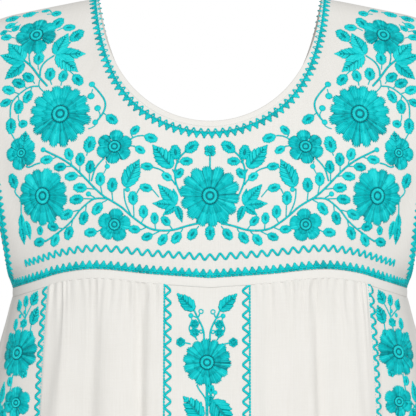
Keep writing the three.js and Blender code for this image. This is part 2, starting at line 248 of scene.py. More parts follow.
def fullness(side: Side, x: Array, z: Array) -> Array:
    """Soft fullness that the bust gives the front of the cloth."""
    if side is Side.BACK:
        return np.zeros_like(x)
    across, up = (np.abs(x) - BUST_OUT) / BUST_BREADTH, (z - BUST_HEIGHT) / BUST_TALLNESS
    return BUST_DEPTH * np.exp(-(across**2 + up**2) / 2)


def unit(vectors: Array) -> Array:
    """Vectors at length 1."""
    return vectors / np.maximum(np.linalg.norm(vectors, axis=-1, keepdims=True), 1e-9)


def run_lengths(points: Array) -> Array:
    """The length along a line of points, at each of them."""
    return np.concatenate([[0], np.cumsum(np.linalg.norm(np.diff(points, axis=0), axis=1))])


def uv_pairs(us: Array | float, vs: Array | float) -> Array:
    """Cloth coordinates from their two parts, either of which may be one number for all."""
    return np.stack(np.broadcast_arrays(us, vs), axis=-1)


class Section:
    """Half a superellipse section of one side, from the centre to where its cloth ends."""

    def __init__(self, side: Side, half_width: float, depth: float, squareness: float, edge: float,
                 height_at: Callable[[Array], Array]) -> None:
        """Works out the section's points and the length along it at each.

        Args:
            side: the side of the dress.
            half_width: half width of the whole section.
            depth: its depth at the centre.
            squareness: exponent of the superellipse.
            edge: where the cloth ends, as a distance from the centre.
            height_at: height of the section's points at a distance from the centre.
        """
        last = math.asin(min(1.0, (edge / half_width) ** (squareness / 2)))
        x = half_width * np.sin(np.linspace(0, last, SECTION_STEPS + 1)) ** (2 / squareness)
        x[-1] = edge
        z = height_at(x)
        bulge = np.maximum(0, 1 - (x / half_width) ** squareness) ** (1 / squareness)
        y = side.value * (depth * bulge + fullness(side, x, z))
        self.side, self.points = side, np.stack([x, y, z], axis=1)
        self.lengths = run_lengths(self.points)
        self.length = self.lengths[-1]

    def along(self, wanted: Array) -> Array:
        """Points of both halves at signed lengths from the centre."""
        reach = np.minimum(np.abs(wanted), self.length)
        found = np.stack([np.interp(reach, self.lengths, self.points[:, k]) for k in range(3)], axis=1)
        found[:, 0] *= np.where(wanted < 0, -1, 1)
        return found

    def outward(self, wanted: Array, step: float) -> Array:
        """Level directions out of the cloth at signed lengths, read over a step to both sides."""
        ahead = self.along(np.minimum(wanted + step, self.length))
        run = ahead - self.along(np.maximum(wanted - step, -self.length))
        return unit(np.stack([run[:, 1], -run[:, 0], np.zeros(len(wanted))], axis=1)) * -self.side.value


@dataclass(frozen=True)
class Crease:
    """A soft crease of the cloth between two places of the front view.

    Attributes:
        start: one end.
        end: the other end.
        width: how far from its line it has faded away.
        depth: how deep it is. A negative depth is a ridge.
        hand: -1 where only the left half has it, 1 for only the right, 0 for both.
    """

    start: Point2
    end: Point2
    width: float
    depth: float
    hand: int = 0

    def dent(self, seen: Array) -> Array:
        """How deep the crease is at places of the front view."""
        a, b = np.array(self.start), np.array(self.end)
        share = np.clip((seen - a) @ (b - a) / ((b - a) @ (b - a)), 0, 1)
        off = np.linalg.norm(seen - (a + share[..., None] * (b - a)), axis=-1) / self.width
        return self.depth * np.exp(-(off**2)) * np.sin(np.pi * (0.12 + 0.76 * share))


# A crease of both halves is weaker on the left, and a little further in and up.
LEFT_CREASE_SHARE = 0.85
LEFT_CREASE_SHIFT = (1.5, 4.0)


class Cloth:
    """A stretch of cloth as a fine grid of points over two cloth coordinates, u across and v down."""

    def __init__(self, side: Side, us: Array, vs: Array, points: Array) -> None:
        """Keeps the grid.

        Args:
            side: the side of the dress.
            us: the coordinate across of each column.
            vs: the coordinate down of each row.
            points: one point for each row and column.
        """
        self.side, self.us, self.vs = side, us, vs
        self.points = points
        self.measure()

    def measure(self) -> None:
        """Works out directions and front-view places from the points."""
        self.du = np.gradient(self.points, self.us, axis=1)
        self.dv = np.gradient(self.points, self.vs, axis=0)
        self.normals = unit(self.side.value * np.cross(self.du, self.dv))
        reach = EYE_DISTANCE / (EYE_DISTANCE + self.points[..., 1] - FRONT_PLANE)
        seen_out = self.points[..., 0] * reach
        seen_down = -(EYE_HEIGHT + (self.points[..., 2] - EYE_HEIGHT) * reach)
        self.seen = np.stack([seen_out, seen_down], axis=-1)
        self.seen_du = np.gradient(self.seen, self.us, axis=1)
        self.seen_dv = np.gradient(self.seen, self.vs, axis=0)

    def crease(self, creases: Sequence[Crease], held: float = 0.0) -> None:
        """Presses creases into the cloth. Those of both halves are a little weaker and higher on the left.

        Args:
            creases: the creases.
            held: how far down the seam at the top keeps them out, as a step of v, or 0.
        """
        dent = np.zeros(self.points.shape[:2])
        for crease in creases:
            if crease.hand >= 0:
                dent += crease.dent(self.seen)
            if crease.hand < 0:
                dent += crease.dent(self.seen * (-1, 1))
            elif crease.hand == 0:
                dent += LEFT_CREASE_SHARE * crease.dent(self.seen * (-1, 1) + LEFT_CREASE_SHIFT)
        if held:
            dent *= 1 - np.exp(-self.vs[:, None] / held)
        self.points = self.points - dent[..., None] * self.normals
        self.measure()

    def at(self, values: Array, uv: Array) -> Array:
        """Values of the grid at cloth coordinates."""
        j = np.interp(uv[..., 0], self.us, np.arange(len(self.us)))
        i = np.interp(uv[..., 1], self.vs, np.arange(len(self.vs)))
        i0 = np.minimum(i.astype(int), len(self.vs) - 2)
        j0 = np.minimum(j.astype(int), len(self.us) - 2)
        s, t = (i - i0)[..., None], (j - j0)[..., None]
        upper = values[i0, j0] * (1 - t) + values[i0, j0 + 1] * t
        lower = values[i0 + 1, j0] * (1 - t) + values[i0 + 1, j0 + 1] * t
        return upper * (1 - s) + lower * s

    def point(self, uv: Array) -> Array:
        """Points of the cloth at cloth coordinates."""
        return self.at(self.points, uv)

    def seen_at(self, out: float, down: float) -> Array:
        """Cloth coordinates of the point that shows at a place of the front view."""
        wanted = np.array([out, down])
        i, j = np.unravel_index(np.argmin(((self.seen - wanted) ** 2).sum(-1)), self.seen.shape[:2])
        uv = np.array([self.us[j], self.vs[i]])
        slopes = np.stack([self.seen_du[i, j], self.seen_dv[i, j]], axis=1)
        return uv + np.linalg.lstsq(slopes, wanted - self.seen[i, j], rcond=None)[0]

    def near(self, centre: Array, local: Array) -> Array:
        """Cloth coordinates of places given in millimetres across and up from a centre.

        Args:
            centre: cloth coordinates of the centre.
            local: the places, to the right as one looks at that side, and up.

        Returns:
            Their cloth coordinates.
        """
        along, downward = self.at(self.du, centre), self.at(self.dv, centre)
        e1 = unit(along)
        up = -downward
        e2 = unit(up - (up @ e1) * e1)
        basis = np.array([[along @ e1, downward @ e1], [along @ e2, downward @ e2]])
        return centre + local @ np.linalg.inv(basis).T

    def local(self, centre: Array, other: Array) -> Array:
        """Where cloth coordinates lie from a centre, in millimetres across and up."""
        basis = np.stack([self.near(centre, step) - centre for step in np.eye(2)], axis=1)
        return np.linalg.solve(basis, other - centre)


def yoke_cloth(side: Side) -> Cloth:
    """The yoke of one side. u is the share of the way to the armhole edge, v the row."""
    us, vs = np.linspace(-1, 1, YOKE_COLUMNS), np.linspace(0, 1, YOKE_LINES)
    rows = []
    for row in vs:
        depth, squareness, opening = YOKE_ROWS[side](row)
        down = row * row
        edge = WAIST_HALF_WIDTH + (SLEEVE_HALF_SPAN - WAIST_HALF_WIDTH) * (1 - down) ** SLEEVE_EDGE_BOW
        half_width = edge / (1 - opening**squareness) ** (1 / squareness)
        section = Section(side, half_width, depth, squareness, edge,
                          lambda x: shoulder_height(x) * (1 - down) + yoke_hem(side, x) * down)
        rows.append(section.along(us * section.length))
    return Cloth(side, us, vs, np.stack(rows))


@dataclass(frozen=True)
class GatherForm:
    """How uneven the gathers are, and how they run on into the skirt.

    Attributes:
        widths: least and greatest width of a gather, of the mean.
        least: least depth, length, slant and spread of a gather.
        greatest: the greatest of each.
        wander: how far the gathers stray sideways, of the zone's width.
        settling: how far below the seam they start to stray.
        slanting: how far below the seam they have their full slant.
        ridge: exponent of a gather's round back.
        pinch: how much flatter a gather is at the seam.
        pinch_length: how soon below the seam it has come up.
        ripple: depth of the small folds below the gathers.
        ripple_from: depth of a gather from which such a fold follows it.
        ripple_slant: length over which a small fold drifts by its slant.
        ripple_length: length over which it fades.
    """

    widths: Point2 = (0.5, 1.5)
    least: tuple[float, ...] = (0.4, 0.22, -0.3, 0.5)
    greatest: tuple[float, ...] = (1.2, 1.05, 0.3, 1.2)
    wander: float = 0.05
    settling: float = 40.0
    slanting: float = 30.0
    ridge: float = 0.85
    pinch: float = 0.5
    pinch_length: float = 3.0
    ripple: float = 2.6
    ripple_from: float = 0.8
    ripple_slant: float = 50.0
    ripple_length: float = 320.0


class Gathering:
    """How gathers and folds lift the skirt's cloth off its sections."""

    def __init__(self, side: Side, seed: int, form: GatherForm = GatherForm()) -> None:
        """Draws the gathers, each with a depth, a length and a slant of its own."""
        self.side, self.form = side, form
        rng = np.random.default_rng(seed)
        self.marks: dict[tuple[int, int], Array] = {}
        self.ridges: dict[tuple[int, int], Array] = {}
        for hand in (-1, 1):
            for z, zone in enumerate(ZONES[side]):
                widths = rng.uniform(*form.widths, max(1, zone.gathers))
                self.marks[hand, z] = np.concatenate([[0], np.cumsum(widths)]) / widths.sum()
                self.ridges[hand, z] = rng.uniform(form.least, form.greatest, (len(widths) + 1, 4))

    def lift(self, hand: int, z: int, place: Array, down: float) -> Array:
        """Height of the cloth over its section.

        Args:
            hand: -1 on the left half, 1 on the right.
            z: number of the zone.
            place: shares of the way across the zone.
            down: share of the way to the hem.

        Returns:
            The height at each place.
        """
        zone, form = ZONES[self.side][z], self.form
        below = down * (seam_height(self.side, 0.0) - HEM_HEIGHT)
        total = np.zeros_like(place)
        for fold in FOLDS[self.side]:
            if fold.zone == z:
                off = (place - (fold.top + (fold.hem - fold.top) * down)) / fold.spread
                total += fold.depth * np.exp(-(off**2))
        lifted = FOLD_DEPTH * down**FOLD_GROWTH * total
        if zone.gathers:
            ridges = self.ridges[hand, z]
            wave = np.sin(2 * np.pi * (1.6 * place + 0.3 * z + 0.2 * hand))
            stray = form.wander * wave * np.sin(np.pi * place)
            strayed = np.clip(place + stray * (1 - math.exp(-below / form.settling)), 0, 1)
            where = np.interp(strayed, self.marks[hand, z], np.arange(zone.gathers + 1))
            k = np.minimum(where.astype(int), zone.gathers - 1)
            depth, length, slant, _ = ridges[k].T
            phase = where - k + slant * np.sin(np.pi * (where - k)) * min(1.0, below / form.slanting)
            ridge = np.maximum(0, (1 - np.cos(2 * np.pi * phase)) / 2) ** form.ridge
            drawn_in = 1 - form.pinch * math.exp(-below / form.pinch_length)
            height = GATHER_DEPTH * zone.depth * depth
            lifted += height * ridge * drawn_in * np.exp(-below / (GATHER_LENGTH * length))
            lifted += zone.depth * self.ripple(ridges, where, below)
        return lifted

    def ripple(self, ridges: Array, where: Array, below: float) -> Array:
        """Small soft folds that run on below the gathers, each over two or three of them."""
        form, total = self.form, np.zeros_like(where)
        for k, (depth, length, slant, spread) in enumerate(ridges):
            drift = k + slant * below / form.ripple_slant
            begun = form.ripple * max(0.0, depth - form.ripple_from) * (1 - math.exp(-below / form.settling))
            strength = begun * math.exp(-below / (form.ripple_length * length))
            total += strength * np.exp(-(((where - drift) / spread) ** 2))
        return total


def skirt_cloth(side: Side, seed: int) -> Cloth:
    """The skirt of one side. u is the distance from the centre at the waist, v the share of the way down."""
    gathering = Gathering(side, seed)
    vs = np.linspace(0, 1, SKIRT_LINES) ** ROW_CROWDING
    zones = ZONES[side]
    stated = sum(zone.width for zone in zones)
    rows: list[Array] = []
    us = seam_ends = None
    for down in vs:
        half_width, depth, squareness = SKIRT_ROWS[side](down)
        section = Section(
            side, half_width, depth, squareness, half_width,
            lambda x: seam_height(side, x * WAIST_HALF_WIDTH / half_width) * (1 - down) + HEM_HEIGHT * down,
        )
        if us is None:
            seam_ends = np.cumsum([0] + [zone.width or section.length - stated for zone in zones])
            steps = [seam_steps(a, b, zone.gathers) for a, b, zone in zip(seam_ends, seam_ends[1:], zones)]
            us = np.concatenate([[0], *steps])
            us = np.concatenate([-us[:0:-1], us])
        extra = section.length - seam_ends[-1]
        ends = seam_ends + extra * np.cumsum([0] + [zone.flare for zone in zones])
        along = np.sign(us) * np.interp(np.abs(us), seam_ends, ends)
        lifted = np.zeros(len(us))
        for z, (a, b) in enumerate(zip(seam_ends, seam_ends[1:])):
            for hand in (-1, 1):
                here = (np.abs(us) >= a) & (np.abs(us) <= b) & (np.sign(us) != -hand)
                lifted[here] = gathering.lift(hand, z, (np.abs(us[here]) - a) / (b - a), float(down))
        rows.append(section.along(along) + lifted[:, None] * section.outward(along, step=1.5))
    return Cloth(side, us, vs, np.stack(rows))


def seam_steps(start: float, end: float, gathers: int) -> Array:
    """Columns from one end of a zone to the other: so many for each gather, or evenly over flat cloth."""
    count = GATHER_COLUMNS * gathers if gathers else math.ceil((end - start) / FLAT_COLUMN)
    return start + (end - start) * np.arange(1, count + 1) / count


def neck_place(cloth: Cloth, turn: float, margin: float) -> Array:
    """Where a line beside the neck edge of a yoke runs.

    Args:
        cloth: the yoke.
        turn: 0 at the centre, -1 and 1 at the shoulders.
        margin: distance from the neck edge.

    Returns:
        Cloth coordinates.
    """
    angle = abs(turn) * math.pi / 2
    x = (NECK_HALF_WIDTH + margin) * math.sin(angle)
    top = float(shoulder_height(x))
    low = -(NECK_DROP[cloth.side] + margin) * math.cos(angle)
    z = low + (top - low) * abs(turn) ** 6
    row = math.sqrt(max(0.0, (top - z) / (top - float(yoke_hem(cloth.side, x)))))
    profile = cloth.point(uv_pairs(cloth.us, row))
    return np.array([math.copysign(1, turn) * float(np.interp(x, profile[:, 0], cloth.us)), row])


# ---- Node graphs


class Graph:
    """Makes the nodes of one node tree."""

    def __init__(self, tree: NodeTree) -> None:
        """Keeps the tree."""
        self.tree = tree

    def node(self, kind: str, inputs: Inputs | None = None, **settings: object) -> Node:
        """Adds a node.

        Args:
            kind: the node's type.
            inputs: values or sockets for its inputs, by name or number.
            settings: the node's own settings, set before its inputs.

        Returns:
            The node.
        """
        made = self.tree.nodes.new(kind)
        for name, setting in settings.items():
            setattr(made, name, setting)
        for name, value in (inputs or {}).items():
            self.feed(made.inputs[name], value)
        return made

    def feed(self, socket: NodeSocket, value: object) -> None:
        """Gives an input its value, or links it to an output."""
        if isinstance(value, Value):
            value = value.socket
        if isinstance(value, NodeSocket):
            self.tree.links.new(value, socket)
        else:
            socket.default_value = value

    def value(self, kind: str, inputs: Inputs | None = None, output: str | int = 0,
              **settings: object) -> "Value":
        """Adds a node and wraps one of its outputs."""
        return Value(self, self.node(kind, inputs, **settings).outputs[output])

    def out(self, kind: str, inputs: Inputs, output: str | int = 0, **settings: object) -> NodeSocket:
        """Adds a node and gives one of its outputs."""
        return self.node(kind, inputs, **settings).outputs[output]

    def stored(self, name: str, kind: str = "FLOAT") -> NodeSocket:
        """Reads a named attribute."""
        return self.out("GeometryNodeInputNamedAttribute", {"Name": name}, data_type=kind)

    def store(self, geometry: NodeSocket, name: str, value: object) -> NodeSocket:
        """Stores a number under a name on every point of a geometry."""
        inputs = {"Geometry": geometry, "Name": name, "Value": value}
        return self.out("GeometryNodeStoreNamedAttribute", inputs, data_type="FLOAT", domain="POINT")

    def ramp(self, factor: "Value", stops: Sequence[tuple[float, Sequence[float]]]) -> "Value":
        """A colour ramp over a factor, through its first and last stop and then those between."""
        made = self.node("ShaderNodeValToRGB", {"Fac": factor})
        elements = made.color_ramp.elements
        for k, (position, colour) in enumerate(stops):
            element = elements[k] if k < 2 else elements.new(position)
            element.position, element.color = position, (*colour, 1)
        return Value(self, made.outputs["Color"])

    def surface(self, inputs: Inputs) -> None:
        """Adds the finish's one shader, and leads it to the output."""
        self.node("ShaderNodeOutputMaterial", {"Surface": self.out("ShaderNodeBsdfPrincipled", inputs)})


class Value:
    """An output of a node, for use in expressions on plain numbers."""

    def __init__(self, graph: Graph, socket: NodeSocket) -> None:
        """Wraps a socket."""
        self.graph, self.socket = graph, socket

    def maths(self, operation: str, *others: object) -> "Value":
        """Adds a Math node over this value and others."""
        inputs: Inputs = {0: self, **{i + 1: other for i, other in enumerate(others)}}
        return self.graph.value("ShaderNodeMath", inputs, operation=operation)

    def reflected(self, operation: str, other: float) -> "Value":
        """Adds a Math node whose first value is a number."""
        return self.graph.value("ShaderNodeMath", {0: other, 1: self}, operation=operation)

    def __add__(self, other: object) -> "Value":
        """Sum."""
        return self.maths("ADD", other)

    def __radd__(self, other: float) -> "Value":
        """Sum."""
        return self.reflected("ADD", other)

    def __sub__(self, other: object) -> "Value":
        """Difference."""
        return self.maths("SUBTRACT", other)

    def __rsub__(self, other: float) -> "Value":
        """Difference from a number."""
        return self.reflected("SUBTRACT", other)

    def __mul__(self, other: object) -> "Value":
        """Product."""
        return self.maths("MULTIPLY", other)

    def __rmul__(self, other: float) -> "Value":
        """Product."""
        return self.reflected("MULTIPLY", other)

    def __pow__(self, other: object) -> "Value":
        """Power."""
        return self.maths("POWER", other)


def new_finish(name: str) -> tuple[Material, Graph]:
    """A new material, and the graph of its empty node tree."""
    material = bpy.data.materials.new(name)
    material.use_nodes = True
    material.node_tree.nodes.clear()
    return material, Graph(material.node_tree)


# ---- Finishes


@dataclass(frozen=True)
class Cotton:
    """Plain-woven cotton: fine yarns, slubs that run down the cloth, and a soft unevenness of colour."""

    name: str
    colour: Colour
    shade: Colour
    yarn: float = 0.00052
    relief: float = 0.35
    slub: tuple[float, float, float] = (900, 28, 1)
    weft: tuple[float, float, float] = (36, 1100, 1)
    cloud: float = 22.0
    roughness: float = 0.88

    def build(self) -> Material:
        """Makes the material."""
        material, graph = new_finish(self.name)
        cloth = graph.value("ShaderNodeUVMap", uv_map="cloth")

        def noise(scale: float, detail: float, stretch: tuple[float, float, float] | None = None) -> Value:
            """Soft noise on the flat cloth."""
            drawn = graph.value("ShaderNodeMapping", {"Vector": cloth, "Scale": stretch or (1, 1, 1)})
            return graph.value("ShaderNodeTexNoise", {"Vector": drawn, "Scale": scale, "Detail": detail})

        across, down = (Value(graph, graph.out("ShaderNodeSeparateXYZ", {0: cloth}, axis)) for axis in (0, 1))
        turn = math.pi / self.yarn
        weave = ((across * turn).maths("SINE") * (down * turn).maths("SINE")).maths("ABSOLUTE")
        slub, weft, cloud = noise(1.0, 3.0, self.slub), noise(1.0, 2.0, self.weft), noise(self.cloud, 4.0)
        uneven = (slub * 0.45 + weft * 0.25 + cloud * 0.3 - 0.36) * 2.6
        colours = {"Factor": uneven, 6: (*self.shade, 1), 7: (*self.colour, 1)}
        mixed = graph.value("ShaderNodeMix", colours, output=2, data_type="RGBA", clamp_factor=True)
        height = weave * 0.5 + slub * 0.9 + weft * 0.5
        bump = graph.value("ShaderNodeBump", {"Height": height, "Strength": self.relief, "Distance": 0.00022})
        graph.surface({"Base Color": mixed, "Roughness": self.roughness, "Normal": bump, "Sheen Weight": 0.18,
                       "Sheen Roughness": 0.5, "Specular IOR Level": 0.25})
        return material


@dataclass(frozen=True)
class Thread:
    """Twisted embroidery thread with a silky sheen. A stitch's `tone` runs from deep to bright, and carries
    the shade painted into some stitches as well as their own tone.
    """

    name: str
    deep: Colour
    body: Colour
    bright: Colour
    roughness: float = 0.45
    ply: float = 0.0009

    def build(self) -> Material:
        """Makes the material."""
        material, graph = new_finish(self.name)
        place = graph.value("ShaderNodeTexCoord", output="Object")
        tone = graph.value("ShaderNodeAttribute", output="Fac", attribute_name="tone")
        twist = graph.value("ShaderNodeAttribute", output="Fac", attribute_name="twist")
        fibre, cloud = (
            graph.value("ShaderNodeTexNoise", {"Vector": place, "Scale": scale, "Detail": 2.0})
            for scale in (2600.0, 260.0)
        )
        # painted shade: the colour is darker in the grooves between the twisted plies, which the bump also
        # shapes.
        ply = (twist * (math.pi / self.ply)).maths("SINE").maths("ABSOLUTE")
        mixed = tone + (fibre - 0.5) * 0.25 + (cloud - 0.5) * 0.3 + (ply - 0.6) * 0.16
        colour = graph.ramp(mixed, [(0.0, self.deep), (1.0, self.bright), (0.5, self.body)])
        relief = {"Height": ply + fibre * 0.4, "Strength": 0.4, "Distance": 0.00025}
        graph.surface({"Base Color": colour, "Roughness": self.roughness, "Specular IOR Level": 0.17,
                       "Normal": graph.value("ShaderNodeBump", relief)})
        return material


CLOTH_FINISH = Cotton("cotton_cloth", (0.86, 0.845, 0.81), (0.80, 0.78, 0.735))
TRIM_FINISH = Cotton("cotton_trim", (0.87, 0.855, 0.82), (0.82, 0.80, 0.755), relief=0.25)
TURQUOISE = Thread("turquoise_thread", (0.0, 0.2, 0.24), (0.0, 0.65, 0.68), (0.045, 0.95, 0.94))
SEWING = Thread("cotton_sewing_thread", (0.6, 0.58, 0.53), (0.8, 0.78, 0.74), (0.88, 0.86, 0.83), 0.7)


# ---- Stitches


# How much the tone of a line of stitches shimmers from one to the next.
RUN_SHIMMER = 0.06


@dataclass
class StitchShape:
    """The form of one stitch in a bed of them: how many sides and steps its little tube has."""

    sides: int = 4
    steps: int = 3


class Stitches:
    """Stitches that lie on one stretch of cloth."""

    def __init__(self, cloth: Cloth) -> None:
        """Starts an empty bed of stitches on a cloth."""
        self.cloth = cloth
        self.starts: list[Array] = []
        self.ends: list[Array] = []
        self.sizes: list[Array] = []

    def lay(self, starts: Array, ends: Array, sizes: Array) -> None:
        """Adds stitches.

        Args:
            starts: cloth coordinates where each stitch comes up.
            ends: cloth coordinates where it goes down.
            sizes: breadth, height and tone of each.
        """
        self.starts.append(starts)
        self.ends.append(ends)
        self.sizes.append(sizes)

    def motif(self, centre: Array, pattern: Array, turn: float = 0.0, mirror: bool = False) -> None:
        """Adds a motif's stitches round a centre.

        Args:
            centre: cloth coordinates of the motif's centre.
            pattern: rows of start, end, breadth, height and tone, in millimetres across and up.
            turn: turn of the motif against the clock, in radians.
            mirror: whether its left and right change places.
        """
        c, s = math.cos(turn), math.sin(turn)
        rotate = np.array([[c, s], [-s, c]])
        ends = [pattern[:, 0:2] @ rotate, pattern[:, 2:4] @ rotate]
        if mirror:
            ends = [place * (-1, 1) for place in ends]
        start, end = (self.cloth.near(centre, place) for place in ends)
        self.lay(start, end, pattern[:, 4:7])

    def leaf(self, foot: Array, tip: Array, pattern: Array, length: float, mirror: bool) -> None:
        """Adds a leaf's stitches, drawn out or in to reach from its foot to its tip.

        Args:
            foot: cloth coordinates of its foot.
            tip: cloth coordinates of its tip.
            pattern: the leaf's rows, with its tip straight up.
            length: the leaf's own length.
            mirror: whether its left and right change places.
        """
        across, up = self.cloth.local(foot, tip)
        fitted = pattern.copy()
        fitted[:, 0:5] *= np.hypot(across, up) / length
        self.motif(foot, fitted, math.atan2(up, -across if mirror else across) - math.pi / 2, mirror)

    def run(self, path: Array, length: float, breadth: float, height: float, tone: float,
            gap: float = 0.0, overlap: float = 0.25) -> None:
        """Adds a line of stitches along a path.

        Args:
            path: cloth coordinates along the line.
            length: length of a stitch.
            breadth: its breadth.
            height: its height.
            tone: its tone.
            gap: space to the next stitch.
            overlap: share of a stitch that lies beside the next one, where there is no gap.
        """
        lengths = run_lengths(self.cloth.point(path))
        count = max(1, round(lengths[-1] / (length + gap)))
        pitch = lengths[-1] / count
        starts = np.arange(count) * pitch
        reach = pitch - gap if gap else pitch * (1 + overlap)
        ends = np.minimum(starts + reach, lengths[-1])
        place = [
            np.stack([np.interp(at, lengths, path[:, k]) for k in (0, 1)], axis=1) for at in (starts, ends)
        ]
        sizes = np.tile([breadth, height, tone], (count, 1))
        sizes[:, 2] += RUN_SHIMMER * np.sin(2.3 * np.arange(count))
        self.lay(*place, sizes)

    def build(self, name: str, material: Material, skin: Object, shape: StitchShape) -> Object:
        """Lays the stitches on the cloth's skin and makes one mesh of them.

        Args:
            name: the piece's name.
            material: the thread.
            skin: the outer face of the cloth that they lie on.
            shape: the form of one stitch.

        Returns:
            The finished piece.
        """
        starts, ends, sizes = (np.concatenate(rows) for rows in (self.starts, self.ends, self.sizes))
        first, last = self.cloth.point(starts), self.cloth.point(ends)
        up = self.cloth.at(self.cloth.normals, (starts + ends) / 2)
        breadth, rise, tone = sizes.T
        fields = {"reach": (last - first) * MM, "up": up, "tone": tone}
        fields |= {"breadth": breadth * MM, "rise": rise * MM}
        mesh = bpy.data.meshes.new(name)
        mesh.vertices.add(len(starts))
        mesh.vertices.foreach_set("co", ((first + last) / 2 * MM).ravel())
        for key, values in fields.items():
            kind, prop = ("FLOAT_VECTOR", "vector") if values.ndim == 2 else ("FLOAT", "value")
            mesh.attributes.new(key, kind, "POINT").data.foreach_set(prop, values.ravel())
        inputs = {"Cloth": skin, "Sides": shape.sides, "Steps": shape.steps, "Thread": material}
        made = apply_nodes(put_in_scene(name, mesh), stitch_tree(), inputs)
        log.info("%s: %d stitches", name, len(starts))
        return made


def apply_nodes(piece: Object, tree: NodeTree, inputs: dict[str, object]) -> Object:
    """Runs a node tree on a piece and keeps its result as a plain mesh.

    Args:
        piece: the object that the tree starts from.
        tree: the geometry node tree.
        inputs: values of the tree's named inputs.

    Returns:
        The same object, with the finished mesh and no modifier.
    """
    modifier = piece.modifiers.new("nodes", "NODES")
    modifier.node_group = tree
    names = {item.name: item.identifier for item in tree.interface.items_tree if item.in_out == "INPUT"}
    for name, value in inputs.items():
        modifier[names[name]] = value
    result = bpy.data.meshes.new_from_object(piece.evaluated_get(bpy.context.evaluated_depsgraph_get()))
    piece.modifiers.remove(modifier)
    old, piece.data = piece.data, result
    bpy.data.meshes.remove(old)
    result.name = piece.name
    return piece


def stitch_tree() -> NodeTree:
    """The node tree that lays one rounded stitch at each point and presses it on to the cloth."""
    kept = bpy.data.node_groups.get("lay_stitches")
    if kept:
        return kept
    tree = bpy.data.node_groups.new("lay_stitches", "GeometryNodeTree")
    sockets = {"Points": "Geometry", "Cloth": "Object", "Sides": "Int", "Steps": "Int", "Thread": "Material"}
    for name, kind in sockets.items():
        tree.interface.new_socket(name, in_out="INPUT", socket_type=f"NodeSocket{kind}")
    tree.interface.new_socket("Stitches", in_out="OUTPUT", socket_type="NodeSocketGeometry")
    graph = Graph(tree)
    given = graph.node("NodeGroupInput").outputs

    # One stitch: a tube that lies along X, thinner and lower at its rounded ends.
    form = {"Vertices": given["Sides"], "Side Segments": given["Steps"], "Radius": 0.5, "Depth": 1.0}
    tube = graph.out("GeometryNodeMeshCylinder", form, "Mesh", fill_type="NGON")
    lying = graph.out("GeometryNodeTransform", {"Geometry": tube, "Rotation": (0.0, math.pi / 2, 0.0)})
    parts = graph.node("ShaderNodeSeparateXYZ", {0: graph.out("GeometryNodeInputPosition", {})})
    x, y, z = (Value(graph, output) for output in parts.outputs)
    reached = (x * 2.0).maths("ABSOLUTE")
    waist = 1.0 - reached ** 5.0 * 0.6
    along = (1.0 - (1.0 - reached) ** 2.6) * 0.5 * x.maths("SIGN")
    shaped = graph.out("ShaderNodeCombineXYZ", {0: along, 1: y * waist, 2: z * waist + (waist - 1.0) * 0.35})
    template = graph.out("GeometryNodeSetPosition", {"Geometry": lying, "Position": shaped})
    placed = graph.node("ShaderNodeSeparateXYZ", {0: graph.out("GeometryNodeInputPosition", {})}).outputs
    for name, output in (("crown", placed[2]), ("along", placed[0]), ("beside", placed[1])):
        template = graph.store(template, name, output)

    # A stitch at each point, turned, drawn out and made real.
    reach, up = graph.stored("reach", "FLOAT_VECTOR"), graph.stored("up", "FLOAT_VECTOR")
    axes = {"Primary Axis": reach, "Secondary Axis": up}
    turned = graph.out("FunctionNodeAxesToRotation", axes, primary_axis="X", secondary_axis="Z")
    length = graph.value("ShaderNodeVectorMath", {0: reach}, "Value", operation="LENGTH")
    breadth, rise = graph.stored("breadth"), graph.stored("rise")
    scale = graph.out("ShaderNodeCombineXYZ", {0: length, 1: breadth, 2: rise})
    laid = graph.out("GeometryNodeInstanceOnPoints", {
        "Points": graph.out("GeometryNodeMeshToPoints", {"Mesh": given["Points"]}),
        "Instance": template, "Rotation": turned, "Scale": scale,
    })
    real = graph.out("GeometryNodeRealizeInstances", {"Geometry": laid})

    # Every point of it is pressed on to the cloth, at its height over the stitch's foot.
    skin = graph.out("GeometryNodeObjectInfo", {"Object": given["Cloth"]}, "Geometry")
    foot = graph.out("GeometryNodeProximity", {0: skin}, "Position", target_element="FACES")
    sampled = {"Mesh": skin, "Value": graph.out("GeometryNodeInputNormal", {})}
    normal = graph.out("GeometryNodeSampleNearestSurface", sampled, data_type="FLOAT_VECTOR")
    above = (Value(graph, graph.stored("crown")) + 0.36) * Value(graph, rise)
    lifted = graph.out("ShaderNodeVectorMath", {0: normal, "Scale": above}, operation="SCALE")
    target = graph.out("ShaderNodeVectorMath", {0: foot, 1: lifted}, operation="ADD")
    soft = graph.out("GeometryNodeSetPosition", {"Geometry": real, "Position": target})
    beside = Value(graph, graph.stored("beside")) * Value(graph, breadth)
    soft = graph.store(soft, "twist", Value(graph, graph.stored("along")) * length + beside)
    soft = graph.out("GeometryNodeSetShadeSmooth", {"Geometry": soft, "Shade Smooth": True})
    for name in ("reach", "up", "breadth", "rise", "crown", "along", "beside"):
        soft = graph.out("GeometryNodeRemoveAttribute", {"Geometry": soft, "Name": name})
    threaded = graph.out("GeometryNodeSetMaterial", {"Geometry": soft, "Material": given["Thread"]})
    graph.node("NodeGroupOutput", {0: threaded})
    return tree


def triangles(piece: Object) -> int:
    """How many triangles a piece has."""
    return sum(len(polygon.vertices) - 2 for polygon in piece.data.polygons)


# ---- Motifs. Each is rows of start across, start up, end across, end up, breadth, height and tone.


def stitch_rows(start: Array, end: Array, *sizes: Array | float) -> Array:
    """Rows of a motif from places of start and end, and breadth, height and tone of each or of all."""
    columns = [np.broadcast_to(size, len(start))[:, None] for size in sizes]
    return np.concatenate([start, end, *columns], axis=1)


def fan(angles: Array, inner: Array | float, outer: Array | float, *sizes: Array | float) -> Array:
    """Stitches that run outward from a centre, each measure one for each or one for all."""
    direction = np.stack([np.cos(angles), np.sin(angles)], axis=1)
    start, end = (direction * np.broadcast_to(reach, len(direction))[:, None] for reach in (inner, outer))
    return stitch_rows(start, end, *sizes)


